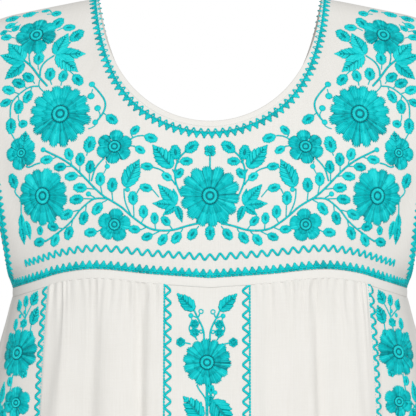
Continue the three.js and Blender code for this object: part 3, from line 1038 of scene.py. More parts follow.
@dataclass(frozen=True)
class Flower:
    """A flower in satin stitch, with a ringed centre.

    Attributes:
        radius: from the centre to the petals' tips.
        petals: how many petals it has.
        core: radius of the ring.
        threads: stitches across a petal.
        roundness: how deep the notches between the petals' tips are, of the radius.
        tone: tone of the petals.
        shadow: tone of the dark threads under the petals and round the ring, painted shade that shows in the
            gaps between petals and round the ring.
    """

    radius: float
    petals: int
    core: float
    threads: int = 7
    roundness: float = 0.16
    tone: float = 0.5
    shadow: float = 0.08

    def pattern(self, seed: int) -> Array:
        """The flower's stitches."""
        rng = np.random.default_rng(SEED + seed)
        rows = [self.petal(k, rng) for k in range(self.petals)]
        return np.concatenate([*rows, self.ring(rng)])

    def petal(self, k: int, rng: np.random.Generator) -> Array:
        """One petal: a dark bed that paints the shade in the gaps between petals, and threads that fan out
        over it in two lengths.
        """
        spread = math.pi / self.petals
        axis = math.pi / 2 + 2 * k * spread + rng.normal(0, 0.05 * spread)
        long = self.radius * (1 + rng.uniform(-0.035, 0.02))
        across = np.linspace(-1, 1, self.threads)
        tip = long * (1 - self.roundness * (1 - np.sqrt(1 - 0.97 * across**2)))
        tip *= 1 + rng.normal(0, 0.008, self.threads)
        angles = axis + across * spread * (1 - 0.8 / self.threads)
        start = np.full(self.threads, self.core * 1.1)
        middle = start + (tip - start) * rng.uniform(0.34, 0.56, self.threads)
        breadth = 2 * self.radius * math.sin(spread) / self.threads
        dome = 0.6 + 0.55 * (1 - across**2)
        # painted shade: a petal's threads darken towards its edges, where it dips between petals.
        shade = self.tone + rng.normal(0, 0.045) - 0.15 * np.abs(across) ** 3
        shade = shade + rng.normal(0, 0.1, self.threads)
        outer = fan(angles, middle * 0.88, tip, breadth * 1.2, 1.7 * dome, shade)
        # painted shade: the inner threads are darker, towards the petal's root by the ring.
        inner = fan(angles, start, middle, breadth * 0.56, 1.25 * dome, shade - 0.06)
        # painted shade: a dark bed under the petal, seen only in the gaps between the petals.
        bed = fan(np.array([axis]), start[0], long * (0.98 - 0.6 * self.roundness),
                  breadth * self.threads * 0.74, 0.4, self.shadow)
        return np.concatenate([bed, inner, outer])

    def ring(self, rng: np.random.Generator) -> Array:
        """The centre: a satin ring round a knot, in a groove of dark stitches that paint the shade round it.
        """
        core = self.core
        count = max(8, round(core * 3.4))
        angles = np.arange(count) * 2 * math.pi / count
        pitch = 2 * math.pi * core * 0.8 / count
        # painted shade: the groove is dark stitches under and round the ring.
        groove = fan(angles, core * 0.2, core * 1.2, pitch * 1.7, 0.7, self.shadow - 0.18)
        ring = fan(angles, core * 0.58, core * 0.98, pitch * 1.25, 2.0, 0.68 + rng.normal(0, 0.04, count))
        return np.concatenate([groove, ring, knot(core * 0.4, 0.5, 1.5)])


def knot(radius: float, tone: float, height: float = 1.3) -> Array:
    """A small round knot of crossing stitches."""
    crossing = fan(np.arange(4) * math.pi / 4, -radius, radius, radius * 1.3, height, tone)
    crossing[:, 6] += 0.08 * np.array([0, 1, -1, 0.5])
    return crossing


# Leaves and buds: unevenness of a stitch's height, of its tone and of a whole leaf's tone; the tone of the
# dark bed under the slit, painted shade between the two halves.
PLUMP_SPREAD = 0.05
TONE_SPREAD = 0.055
LEAF_SPREAD = 0.03
SLIT_SHADE_TONE = 0.12
LEAF_ENDS = (0.13, 0.985)
LEAF_TEETH = 0.045
LEAF_OVERLAP = 1.24
BUD_TEETH = 0.03
BUD_LEAN = 0.3
BUD_SLIT = 0.42
BUD_OVERLAP = 1.04


@dataclass(frozen=True)
class Leaf:
    """A leaf in two halves of slanted stitches on each side of a middle line, over a dark bed that paints the
    shade in it.

    Attributes:
        length: from its foot to its tip.
        width: across its widest place.
        stitches: how many lie on each side.
        slit: breadth of the middle line.
        opening: half the line's length, of the leaf's.
        point: where it is widest: 1 is the middle, less is nearer its foot.
        slant: how far a stitch leans towards the tip, of its own reach across.
        tone: tone of the thread.
        belly: how full its outline is: less is fuller.
        plump: height of its stitches.
    """

    length: float
    width: float
    stitches: int
    slit: float
    opening: float = 0.36
    point: float = 1.0
    slant: float = 0.8
    tone: float = 0.5
    belly: float = 0.85
    plump: float = 1.3

    def half_width(self, share: Array) -> Array:
        """Half width at a share of the way to the tip."""
        return self.width / 2 * np.sin(np.pi * np.clip(share, 0, 1) ** self.point) ** self.belly

    def pattern(self, seed: int) -> Array:
        """The leaf's stitches, with its foot at the centre and its tip straight up."""
        rng = np.random.default_rng(SEED + seed)
        end_share = np.linspace(*LEAF_ENDS, self.stitches)
        mood = rng.normal(0, LEAF_SPREAD)
        teeth = 1 + LEAF_TEETH * (-1.0) ** np.arange(self.stitches)
        pitch = self.length / self.stitches
        rows = []
        for hand in (-1, 1):
            edge = self.half_width(end_share) * teeth * (1 + rng.normal(0, 0.03, self.stitches))
            foot_share = np.clip(end_share - self.slant * edge / self.length - 0.02, 0.02, 0.86)
            middle = np.abs(foot_share - 0.45) < self.opening * 0.9
            inward = hand * self.slit * np.where(middle, 0.4, -0.25)
            start = np.stack([inward, foot_share * self.length], axis=1)
            end = np.stack([hand * np.maximum(edge, 0.4), end_share * self.length], axis=1)
            height = self.plump * (1 + rng.normal(0, PLUMP_SPREAD, self.stitches))
            # painted shade: one half of the leaf is a little darker than the other, as light falls
            # differently on its two slants.
            tone = self.tone + mood - 0.05 * hand + rng.normal(0, TONE_SPREAD, self.stitches)
            rows.append(stitch_rows(start, end, pitch * LEAF_OVERLAP, height, tone))
        low, high = (self.length * (0.48 + way * self.opening) for way in (-1, 1))
        # painted shade: a dark bed along the middle line, seen between the two halves.
        bed = [0, low, 0, high, self.width * 0.42, 0.45, SLIT_SHADE_TONE]
        tip = [0, self.length * 0.84, 0, self.length * 1.03, pitch, self.plump, self.tone + mood]
        return np.concatenate([np.array([bed]), *rows, np.array([tip])])


@dataclass(frozen=True)
class Bud:
    """A small round leaf: stitches set all round a slit and leaning towards its tip, over a dark bed that
    paints the slit's shade.

    Attributes:
        length: from its foot to its tip.
        width: across its widest place.
        stitches: how many lie round it, an odd number, so that one is its tip.
        slit: breadth of the slit.
        tone: tone of the thread.
        plump: height of its stitches.
    """

    length: float
    width: float
    stitches: int
    slit: float = 1.7
    tone: float = 0.54
    plump: float = 1.6

    def pattern(self, seed: int) -> Array:
        """The bud's stitches, with its foot at the centre and its tip straight up."""
        rng = np.random.default_rng(SEED + seed)
        turns = (np.arange(self.stitches) + 0.5) * 2 * math.pi / self.stitches
        inner = turns - BUD_LEAN * np.sin(turns)
        teeth = BUD_TEETH * (-1.0) ** np.arange(self.stitches)
        reach = 0.99 + teeth + 0.1 * np.maximum(0, -np.cos(turns)) ** 6
        half = self.length / 2
        slit = half * BUD_SLIT
        start = np.stack([self.slit / 2 * np.sin(inner), half - slit * np.cos(inner)], axis=1)
        end = np.stack([self.width / 2 * reach * np.sin(turns), half * (1 - reach * np.cos(turns))], axis=1)
        breadth = (self.length + self.width) * math.pi / 2 / self.stitches * BUD_OVERLAP
        height = self.plump * (1 + rng.normal(0, PLUMP_SPREAD, self.stitches))
        tone = self.tone + rng.normal(0, LEAF_SPREAD) + rng.normal(0, TONE_SPREAD, self.stitches)
        # painted shade: a dark bed under the slit.
        bed = [0, half - slit * 1.2, 0, half + slit * 1.2, self.slit * 1.5, 0.5, SLIT_SHADE_TONE]
        return np.concatenate([np.array([bed]), stitch_rows(start, end, breadth, height, tone)])


BUD = Bud(12.8, 9.6, 15)
BRIGHT_BUD = Bud(12.6, 9.4, 15, tone=0.62)
SMALL_BUD = Bud(8.6, 7.8, 11, 1.3, plump=1.4)
SLIM_BUD = Bud(10, 7.6, 11, 1.1, plump=1.4)
BIG_LEAF = Leaf(30, 16.5, 14, 1.4, point=0.85, slant=0.95, tone=0.52)
FINGER_LEAF = Leaf(24, 11, 12, 1.2, point=0.85, slant=0.9, tone=0.5)
BRIGHT_LEAF = Leaf(30, 16, 14, 1.4, point=0.85, slant=0.95, tone=0.63)
SLIM_LEAF = Leaf(14, 10, 8, 1.0, point=0.9, slant=0.8, tone=0.5)
SHORT_LEAF = Leaf(15, 13, 9, 1.2, point=0.85, slant=0.85, tone=0.5)


# ---- Needlework on the yoke


@dataclass(frozen=True)
class Bloom:
    """A flower at a place of the front view."""

    out: float
    down: float
    flower: Flower
    turn: float = 0.0
    stretch: Point2 = (1.0, 1.0)


@dataclass(frozen=True)
class Frond:
    """A leaf from a foot towards a tip, both places of the front view."""

    foot: Point2
    tip: Point2
    leaf: Leaf


@dataclass(frozen=True)
class Sprig:
    """A bud on a short stalk: the stalk's root, the bud's foot and its tip, places of the front view."""

    root: Point2
    foot: Point2
    tip: Point2
    leaf: Leaf | Bud = BUD


@dataclass(frozen=True)
class Vine:
    """A stem through places of the front view, with or without a knot at its end."""

    route: tuple[Point2, ...]
    breadth: float = 1.5
    knot_at_end: bool = False


CENTRE_FLOWER = Flower(30.8, 14, 7.6, threads=8, roundness=0.15)
SHOULDER_FLOWER = Flower(32.3, 16, 8.2, threads=7, roundness=0.14)
SIDE_FLOWER = Flower(28.8, 13, 7.8, threads=8, roundness=0.13, tone=0.47)
CORNER_FLOWER = Flower(21.2, 7, 6.4, threads=11, roundness=0.19, tone=0.47)
SIX_PETALS = Flower(19.0, 6, 6.0, threads=11, roundness=0.29, tone=0.5)
FIVE_PETALS = Flower(17.2, 5, 5.4, threads=12, roundness=0.3, tone=0.54)
SIDE_BLOSSOM = Flower(17.5, 5, 4.4, threads=12, roundness=0.32, tone=0.47)
BUTTON_FLOWER = Flower(6.6, 4, 1.8, threads=4, roundness=0.3, tone=0.56, shadow=0.2)

YOKE_BLOOMS = (
    Bloom(149.8, 127.8, SHOULDER_FLOWER, 0.0, (1.01, 1.08)),
    Bloom(167.4, 210, SIDE_FLOWER, 0.0, (0.95, 1.04)),
    Bloom(173.5, 49, CORNER_FLOWER, 0.3, (1.03, 1.14)),
    Bloom(95.6, 160.5, SIX_PETALS, 0.12),
    Bloom(95.6, 238.5, FIVE_PETALS, 0.1),
    Bloom(188.6, 167, SIDE_BLOSSOM, -0.2),
)
CENTRE_BLOOMS = (Bloom(0, 210, CENTRE_FLOWER, 0.1, (1.0, 1.05)), Bloom(0, 165, BUTTON_FLOWER, 0.8))

# Each row: out and down of the foot and of the tip, and the leaf.
YOKE_FRONDS = tuple(Frond(row[:2], row[2:4], row[4]) for row in (
    (85, 201, 71, 174, BIG_LEAF), (38, 182, 57, 159.5, BIG_LEAF), (34, 219, 51.5, 199, FINGER_LEAF),
    (34.5, 218, 36.5, 203, FINGER_LEAF), (35, 219, 57, 217.5, FINGER_LEAF), (34, 220, 47, 229, FINGER_LEAF),
    (33.5, 220, 28, 236, FINGER_LEAF), (154.5, 69, 142, 48, BRIGHT_LEAF), (154.5, 69, 125, 68, BRIGHT_LEAF),
    (154, 70, 132.5, 85.5, BRIGHT_LEAF), (185.5, 74, 201, 58, BIG_LEAF), (186, 76, 209, 69.5, BRIGHT_LEAF),
    (185.5, 77, 204.5, 93, BIG_LEAF), (188, 243, 188.5, 227, FINGER_LEAF),
    (188.5, 238, 185.5, 258, FINGER_LEAF), (184, 235, 179.5, 253, FINGER_LEAF),
    (186.5, 160, 184.2, 145.5, SHORT_LEAF),
))

# Each row: out and down of the stalk's root, of the bud's foot and of its tip, and the bud if it isn't BUD.
YOKE_SPRIGS = tuple(Sprig(row[:2], row[2:4], row[4:6], *row[6:]) for row in (
    # Above and beside the shoulder flower.
    (158, 99, 159.8, 94.6, 159.8, 82.2), (149, 100, 148.2, 96, 145.2, 84.6),
    (141, 84.5, 136.2, 88.8, 128.4, 98.8), (171.5, 84, 171.8, 78.8, 170.2, 66.6),
    (175, 98, 176.8, 95.4, 186, 87.8), (183, 102.5, 185.2, 100.4, 196.8, 94.6),
    (191, 108, 195.2, 106.4, 207, 102, BRIGHT_BUD), (196, 114.5, 198.9, 114.4, 209.5, 119.4),
    (178, 101, 179, 104.7, 185, 116.8), (192, 109.5, 190.8, 114, 191.4, 127.8),
    (199.5, 129, 199.4, 132.4, 198.4, 147.8), (189.5, 135.5, 191.5, 138.4, 182.4, 137.6, SMALL_BUD),
    (106.5, 127, 103.6, 129.4, 93, 137),
    # Round the corner flower.
    (157, 48, 155.9, 42.9, 148.2, 32.3), (153, 45, 147, 42, 134.6, 41.5),
    (141, 58.5, 138.6, 55.6, 127.8, 44.2), (163, 28.6, 158.4, 28.1, 148.6, 27.4, SMALL_BUD),
    (194, 52.4, 198, 51.6, 208.6, 51.8), (198, 46, 202.6, 45, 209.6, 48.6, SLIM_BUD),
    (192, 36, 194.6, 38, 204.4, 42.2, SLIM_BUD), (189, 38.5, 190.6, 40.2, 197.6, 45.2, SLIM_BUD),
    (189, 30.6, 191, 31.2, 204, 35, SLIM_BUD), (171, 26.4, 174, 27, 187, 30.4, SLIM_BUD),
    (158, 27, 160, 24.4, 168, 26, SLIM_BUD),
    # Along the long vine.
    (137.8, 180, 139.2, 174.4, 142.8, 162.6, BRIGHT_BUD), (130, 187, 130.1, 180, 129.4, 167),
    (120.4, 196.6, 120.5, 187.5, 119.2, 174.6), (107.6, 209, 109.4, 200, 110.1, 186.6, BRIGHT_BUD),
    (97, 215.8, 98.1, 206.2, 97.3, 192), (123.5, 170, 122.4, 166.7, 118.2, 150.6, BRIGHT_BUD),
    (153, 171, 157.1, 172.8, 169.4, 174.8, BRIGHT_BUD), (137.5, 180.4, 143.6, 180.6, 155.8, 181.7),
    (126.5, 190.6, 132.1, 189.8, 145, 191.1), (113.6, 203.4, 123, 202.5, 136.5, 201.2, BRIGHT_BUD),
    (115.6, 213, 126.5, 212.7, 140.2, 214.4), (102.5, 214, 108.2, 216.8, 116.8, 228.2),
    (123.6, 218.6, 124.2, 225.2, 128.2, 238.6), (130.6, 224, 137, 225.6, 149.4, 231.6),
    (137, 233.6, 138.6, 240.4, 143.4, 253.4), (147, 242.6, 151.2, 242, 162.2, 239.8),
    (150, 245.6, 151.6, 248.3, 157.8, 259.8), (164, 254.6, 165.4, 254.4, 175.4, 257.6),
    (166, 237, 169.7, 240, 169.7, 249, SMALL_BUD), (108, 243, 113, 246, 125.5, 247),
    (195.2, 206.3, 193.7, 202.3, 199.1, 188.3),
    # Round the centre flower.
    (69, 237.4, 66.2, 232.4, 66.9, 219.4), (54.5, 243.8, 55, 238.2, 55.9, 226.6, BRIGHT_BUD),
    (37, 244, 40.4, 239.4, 48.2, 230.8), (64, 241.5, 69.6, 244, 81.4, 242.6),
    (50, 245, 57.4, 248.6, 68.2, 252.7), (40, 245, 43.4, 248.5, 51.2, 258.6),
    (27, 242.4, 29.4, 246.4, 37.6, 256.8), (11, 240, 13.6, 243, 21.6, 253.2),
    (76, 231, 76.5, 219, 77.5, 205.4), (51, 211.4, 57.8, 203.2, 70.2, 200.4, BRIGHT_BUD),
    (52, 182.8, 56.8, 181, 69, 180, BRIGHT_BUD), (36, 196, 38.6, 194.2, 47.6, 187.4, BRIGHT_BUD),
    (35, 196, 34.4, 192, 27.4, 182.8), (33, 177.6, 30.2, 175.6, 17.4, 175.1),
    (27, 168, 24.5, 166, 12.4, 156.4), (33, 177, 33.6, 173.6, 35.6, 159.2),
    (68, 149.8, 65.6, 149.9, 52.8, 154.2), (77, 151.6, 79, 148.4, 71.2, 140.3),
    (77, 160.2, 74.7, 160.8, 65.4, 166.8, BRIGHT_BUD),
))

YOKE_VINES = (
    Vine(((11, 237), (24.4, 240.3), (37, 244), (49.7, 244.5), (60.2, 242.5), (70.7, 236.1), (81.3, 227.7),
          (88, 221.5), (96.3, 216.2), (106.2, 210.2), (116.1, 201.3), (126, 191), (136.8, 180.6),
          (146.7, 173.7), (156.6, 168.7), (166.8, 163.8)), 1.9, True),
    Vine(((102.2, 212.7), (115.1, 212.7), (123, 217.7), (130.9, 225.1), (137.8, 234.5), (146.7, 242.9),
          (156.6, 250.3), (165, 255.7)), 1.7),
    Vine(((28, 211), (30.2, 206.6), (33.9, 197.2), (35.2, 187.7), (33.9, 179.3), (29.7, 170.8),
          (24.4, 165.6)), 1.7),
    Vine(((34.4, 199.3), (38.6, 193), (45.5, 186.6), (49.7, 183.5), (57, 181.4)), 1.4),
    Vine(((37.6, 183), (35.2, 187.7)), 1.6),
    Vine(((85.9, 202.3), (85.8, 209.2), (84, 218.2), (79.2, 228.7)), 1.3),
    Vine(((70.6, 202.4), (73.4, 207.7)), 1.2),
    Vine(((162.4, 100.5), (170.2, 91.7), (178.5, 80.6), (186.4, 74.1)), 2.1),
    Vine(((169.8, 90.8), (169.3, 83.4), (164.7, 76), (155.4, 69.5)), 1.8),
    Vine(((179, 80.6), (180.9, 71.4), (179, 64)), 1.4),
    Vine(((171.1, 100.5), (179.5, 101), (189.6, 107.4), (198, 116.7), (199.5, 125), (199.5, 131.5)), 1.6),
    Vine(((169.8, 93.4), (171.1, 100.5), (165.6, 106.5)), 1.2),
    Vine(((191.5, 128.7), (191.6, 133), (190.5, 136)), 1.1), Vine(((198.4, 147.7), (195.2, 153.4)), 1.2),
    Vine(((116.6, 100), (110.6, 106.5), (105.5, 113.9), (104.5, 120.4), (107.3, 127.8), (113.9, 136.3)), 1.8),
    Vine(((122, 143), (116, 141), (114, 137.5)), 1.1), Vine(((117.2, 103), (118.5, 108)), 1.0),
    Vine(((112, 124), (109.6, 128.5), (110.5, 131)), 1.1),
    Vine(((105.2, 171.7), (110.1, 176.6), (115.1, 183.5), (118.6, 195.4)), 1.6),
    Vine(((79.7, 153.5), (73.9, 150.3), (66.5, 149.6)), 1.4), Vine(((80.2, 159.8), (75, 160.3)), 1.2),
    Vine(((193.7, 202.3), (195.2, 206.3), (192.2, 209.7), (188.7, 214.2), (188.7, 221.1), (188.5, 228)), 1.5),
    Vine(((184.3, 180.1), (180.3, 181.6), (175.4, 178.6), (169.5, 177.1)), 1.6),
    Vine(((104.2, 175), (102.7, 180.4), (106.6, 188)), 1.0),
    Vine(((114.6, 212.2), (121.5, 208)), 1.3, True),
)
CENTRE_VINES = (Vine(((0, 182), (0, 169)), 1.6),)
CENTRE_BUD = ((0.0, 239.5), (0.0, 254.0))

KNOTS = ((118, 98.4, 3.3), (118.9, 110.2, 3.7), (112.4, 122.2, 3.4), (114.7, 136.3, 3.0), (82.5, 203.5, 2.6),
         (102.7, 180.4, 2.7))
KNOT_TONE = 0.56
END_KNOT = 2.7
STALK = 1.15
HANDS = (1, -1)


class FloralWork:
    """Flowers, leaves and vines on the front yoke, the same on the left and the right."""

    def __init__(self, cloth: Cloth) -> None:
        """Starts the work on a cloth."""
        self.cloth = cloth
        self.flowers, self.leaves, self.stems = Stitches(cloth), Stitches(cloth), Stitches(cloth)
        self.count = 0

    def bloom(self, bloom: Bloom, hands: Sequence[int] = HANDS) -> None:
        """Makes a flower on each half, or on the one that is given."""
        self.count += 1
        pattern = bloom.flower.pattern(self.count)
        pattern[:, 0:4] *= bloom.stretch * 2
        for hand in hands:
            uv = self.cloth.seen_at(hand * bloom.out, bloom.down)
            self.flowers.motif(uv, pattern, bloom.turn, hand < 0)

    def frond(self, frond: Frond) -> None:
        """Makes a leaf on each half, drawn out to reach from its foot to its tip."""
        self.count += 1
        pattern = frond.leaf.pattern(self.count)
        pattern[:, 6] += 0.05 * math.sin(2.4 * self.count)
        for hand in HANDS:
            foot, tip = (self.cloth.seen_at(hand * out, down) for out, down in (frond.foot, frond.tip))
            self.leaves.leaf(foot, tip, pattern, frond.leaf.length, hand < 0)

    def vine(self, vine: Vine, hands: Sequence[int] = HANDS) -> None:
        """Makes a stem on each half, with its knot."""
        for hand in hands:
            route = np.array([self.cloth.seen_at(hand * out, down) for out, down in vine.route])
            path = smooth_line(route, 10)
            self.stems.run(path, 3.4, vine.breadth * 1.15, 1.1, 0.47)
            if vine.knot_at_end:
                self.flowers.motif(path[-1], knot(END_KNOT, KNOT_TONE))

    def make(self) -> None:
        """Makes all the flowers, leaves, stems and knots of the front yoke."""
        for blooms, hands in ((YOKE_BLOOMS, HANDS), (CENTRE_BLOOMS, HANDS[:1])):
            for bloom in blooms:
                self.bloom(bloom, hands)
        for frond in YOKE_FRONDS:
            self.frond(frond)
        for sprig in YOKE_SPRIGS:
            self.frond(Frond(sprig.foot, sprig.tip, sprig.leaf))
            self.vine(Vine((sprig.root, sprig.foot), STALK))
        for out, down, radius in KNOTS:
            for hand in HANDS:
                self.flowers.motif(self.cloth.seen_at(hand * out, down), knot(radius, KNOT_TONE))
        for vines, hands in ((YOKE_VINES, HANDS), (CENTRE_VINES, HANDS[:1])):
            for vine in vines:
                self.vine(vine, hands)
        foot, tip = (self.cloth.seen_at(*place) for place in CENTRE_BUD)
        self.leaves.leaf(foot, tip, BUD.pattern(3), BUD.length, False)


def smooth_line(route: Array, steps: int) -> Array:
    """A smooth line through places, with a number of steps between each two."""
    padded = np.concatenate([[2 * route[0] - route[1]], route, [2 * route[-1] - route[-2]]])
    t = np.linspace(0, 1, steps, endpoint=False)[:, None]
    pieces = []
    for a, b, c, d in zip(padded, padded[1:], padded[2:], padded[3:]):
        bend, twist = 2 * a - 5 * b + 4 * c - d, 3 * b - a - 3 * c + d
        pieces.append(0.5 * (2 * b + (c - a) * t + bend * t**2 + twist * t**3))
    return np.concatenate([*pieces, route[-1:]])


# ---- Borders


def triangle_pattern(width: float, height: float, rng: np.random.Generator, base: bool) -> Array:
    """A filled triangle that points up, on a double base line or none."""
    across = np.linspace(-0.4, 0.4, 5)
    rise = 1 - 0.72 * np.abs(across) / 0.4
    foot = 2.3 if base else 0.0
    tone = 0.45 + rng.normal(0, 0.05)
    rows = [
        [x * width, foot, x * width * 0.62, foot + height * r, width * 0.38, 1.5, tone + rng.normal(0, 0.06)]
        for x, r in zip(across, rise)
    ]
    if base:
        rows.append([-width / 2 - 0.3, 2.2, width / 2 + 0.3, 2.2, 1.9, 1.6, tone])
        rows.append([-width / 2, 0.4, 0.1, 0.4, 2.1, 1.4, tone - 0.02])
        rows.append([0.1, 0.4, width / 2, 0.4, 2.1, 1.4, tone - 0.16])
    return np.array(rows)


def spike_pattern(width: float, height: float, rng: np.random.Generator) -> Array:
    """A small pointed spike of two stitches that lean together."""
    tone = 0.46 + rng.normal(0, 0.06)
    return np.array([
        [-width / 2, 0.3, 0.25, height, 1.6, 1.2, tone],
        [width / 2, 0.3, 0.1, height * 0.92, 1.6, 1.2, tone + 0.05],
    ])


# How far the neck trim's line lies from the neck edge, from the centre to the shoulders.
NECK_TRIM_MARGIN = SmoothTable([(0, 11.9), (0.4, 11.2), (0.55, 9.0), (0.7, 5.6), (0.85, 3.2), (1.0, 2.8)])
NECK_TRIM_PITCH = 7.5
HEM_TRIM_PITCH = 7.2
SLEEVE_TRIM_PITCH = 6.7
SLEEVE_TRIM_INSET = 5.4
ZIGZAG_PITCH = 10.4
ZIGZAG_HEIGHT = 21.5
ZIGZAG_REACH = 3.9


class Borders:
    """The stitched borders of the yoke: round the neck, along the armholes and above the waist band."""

    def __init__(self, cloth: Cloth) -> None:
        """Starts the borders on a yoke."""
        self.cloth = cloth
        self.stitches = Stitches(cloth)
        self.rng = np.random.default_rng(SEED)

    def paced(self, path: Array, pitch: float, tighter: float = 0.0) -> Iterator[tuple[Array, float]]:
        """Paced places along a path, with the direction of the path there.

        Args:
            path: cloth coordinates along it.
            pitch: distance between places in the middle of the path.
            tighter: share of the pitch that is lost towards the path's ends.

        Yields:
            Cloth coordinates and the direction, in radians, in millimetres across and up.
        """
        lengths = run_lengths(self.cloth.point(path))
        outward = np.abs(lengths / lengths[-1] * 2 - 1)
        density = 1 / (1 - tighter * np.clip((outward - 0.55) / 0.45, 0, 1))
        steps = np.concatenate([[0], np.cumsum((density[1:] + density[:-1]) / 2 * np.diff(lengths))]) / pitch
        count = max(1, round(steps[-1]))
        for where in np.interp((np.arange(count) + 0.5) * steps[-1] / count, steps, lengths):
            around = np.array([where - 0.5, where + 0.5])
            here, ahead = np.stack([np.interp(around, lengths, path[:, k]) for k in (0, 1)], axis=1)
            across, up = self.cloth.local(here, ahead)
            yield (here + ahead) / 2, math.atan2(up, across)

    def neck(self) -> None:
        """Triangles that point away from the neck, on a dark line, with small spikes on its other side."""
        turns = np.linspace(-1, 1, 161)
        margins = NECK_TRIM_MARGIN(np.abs(turns))[:, 0]
        path = np.array([neck_place(self.cloth, *pair) for pair in zip(turns, margins)])
        self.stitches.run(path, 3.0, 2.1, 1.5, 0.34)
        for number, (place, direction) in enumerate(self.paced(path, NECK_TRIM_PITCH / 2)):
            if number % 2:
                pattern = triangle_pattern(7.4, 6.6, self.rng, base=False)
                self.stitches.motif(place, pattern, direction + math.pi)
            else:
                self.stitches.motif(place, spike_pattern(4.2, 4.5, self.rng), direction)

    def hem(self) -> None:
        """Triangles on a double line above the waist band."""
        path = self.above_band(1.3, 0.992)
        for place, direction in self.paced(path, HEM_TRIM_PITCH, 0.35):
            self.stitches.motif(place, triangle_pattern(7.8, 6.0, self.rng, base=True), direction)

    def above_band(self, height: float, reach: float) -> Array:
        """A line at a height above the waist band, as far as a share of the way to the side seams."""
        us = np.linspace(-reach, reach, 241)
        tall = self.cloth.point(uv_pairs(us, 0.0))[:, 2] - self.cloth.point(uv_pairs(us, 1.0))[:, 2]
        return uv_pairs(us, np.sqrt(1 - height / tall))

    def zigzag(self) -> None:
        """A zigzag line above the border."""
        path = self.above_band(ZIGZAG_HEIGHT, 0.855)
        places = [place for place, _ in self.paced(path, ZIGZAG_PITCH / 2, 0.5)]
        corners = [
            self.cloth.near(place, np.array([0, ZIGZAG_REACH if k % 2 else -ZIGZAG_REACH]))
            for k, place in enumerate(places)
        ]
        for start, end in zip(corners, corners[1:]):
            self.stitches.run(np.stack([start, end]), 9.5, 2.4, 1.6, 0.5, overlap=0.12)

    def armholes(self) -> None:
        """Small lozenges along both armhole edges."""
        vs = np.linspace(0.0, 0.985, 161)
        centre = self.cloth.point(uv_pairs(0.0, vs))
        for hand in (-1, 1):
            edge = self.cloth.point(uv_pairs(float(hand), vs))
            inset = SLEEVE_TRIM_INSET / np.maximum(np.linalg.norm(edge - centre, axis=1), 1)
            for place, direction in self.paced(uv_pairs(hand * (1 - inset), vs), SLEEVE_TRIM_PITCH):
                for turned in (0.0, math.pi):
                    pattern = triangle_pattern(7.6, 6.2, self.rng, base=False)
                    self.stitches.motif(place, pattern, direction + turned)

    def make(self) -> None:
        """Makes all the borders."""
        self.neck()
        self.hem()
        self.zigzag()
        self.armholes()


# ---- Needlework on the skirt


@dataclass(frozen=True)
class PanelUnit:
    """One repeat of the needlework down a panel, in millimetres across and below the unit's top.

    Attributes:
        blooms: place, flower and turn of each.
        fronds: foot, tip and leaf of each.
        stems: route and breadth of each.
        knots: place and radius of each.
        loops: place and radius of each small ring.
        drawn: how far its flowers are drawn out across.
    """

    blooms: tuple[tuple[float, float, Flower, float], ...] = ()
    fronds: tuple[tuple[float, float, float, float, Leaf | Bud], ...] = ()
    stems: tuple[tuple[tuple[Point2, ...], float], ...] = ()
    knots: tuple[tuple[float, float, float], ...] = ()
    loops: tuple[tuple[float, float, float], ...] = ()
    drawn: float = 1.0


MINI_FLOWER = Flower(5.0, 6, 1.5, threads=3, roundness=0.12, tone=0.52, shadow=0.35)
CENTRE_UNIT = PanelUnit(
    blooms=(
        (0, 64.6, Flower(24.2, 14, 6.8, threads=6, roundness=0.11), 0.1), (26.3, 46, MINI_FLOWER, 0.0),
        (12.6, 27.3, MINI_FLOWER, 0.3), (12.4, 35.7, MINI_FLOWER, 0.0),
    ),
    fronds=((13, 13.3, 29.6, -1.6, Leaf(22.3, 12.8, 9, 1.3, point=0.8, slant=0.95)),),
    stems=(
        (((3, 43), (3.2, 34.9), (5.5, 28), (9.3, 21.1), (13, 13.3)), 1.8),
        (((10, 43), (11.5, 40), (16, 36.5), (18, 31.6), (15.5, 26)), 1.5), (((16, 47.3), (23, 46.2)), 1.5),
        (((9.3, 21.1), (8, 19), (7.2, 16.6)), 1.4), (((9.6, 21.1), (13, 19.6), (16, 19.1)), 1.3),
        (((16.1, 20), (14.8, 24)), 1.1), (((0.75, 87), (0.75, 112), (1.5, 142)), 1.4),
    ),
    knots=((16.1, 19.1, 2.5),),
    loops=((6, 14.4, 2.3), (6, 34.4, 1.9)),
)
CENTRE_LEFT_UNIT = PanelUnit(
    fronds=((4.6, 119.5, 23.2, 99.6, Leaf(27, 17.5, 11, 1.5, point=0.85, slant=0.9)),),
    stems=(
        (((10.3, 87), (7.3, 92.6), (3.9, 96.5), (1.2, 101.7), (0.8, 108)), 1.5),
        (((4.6, 119.5), (1.5, 127)), 1.5),
    ),
)
CENTRE_RIGHT_UNIT = PanelUnit(
    fronds=(
        (5.5, 102, 25, 127.5, Leaf(32, 20.5, 12, 1.6, point=0.85, slant=0.9, tone=0.48)),
        (3.9, 95.8, 4.3, 86.5, SLIM_BUD),
        (2.4, 104.2, 3.9, 95.2, Leaf(9, 5.6, 5, 0.7, slant=0.45, belly=0.6, plump=1.4)),
    ),
    stems=(
        (((0.8, 108), (3, 104), (6, 101.6)), 1.4), (((4.4, 102.5), (7, 98.5), (8.1, 95)), 1.2),
        (((4.2, 122), (4.1, 109.5), (5.8, 102.6)), 1.4),
    ),
    knots=((8.1, 94.4, 2.3),),
)
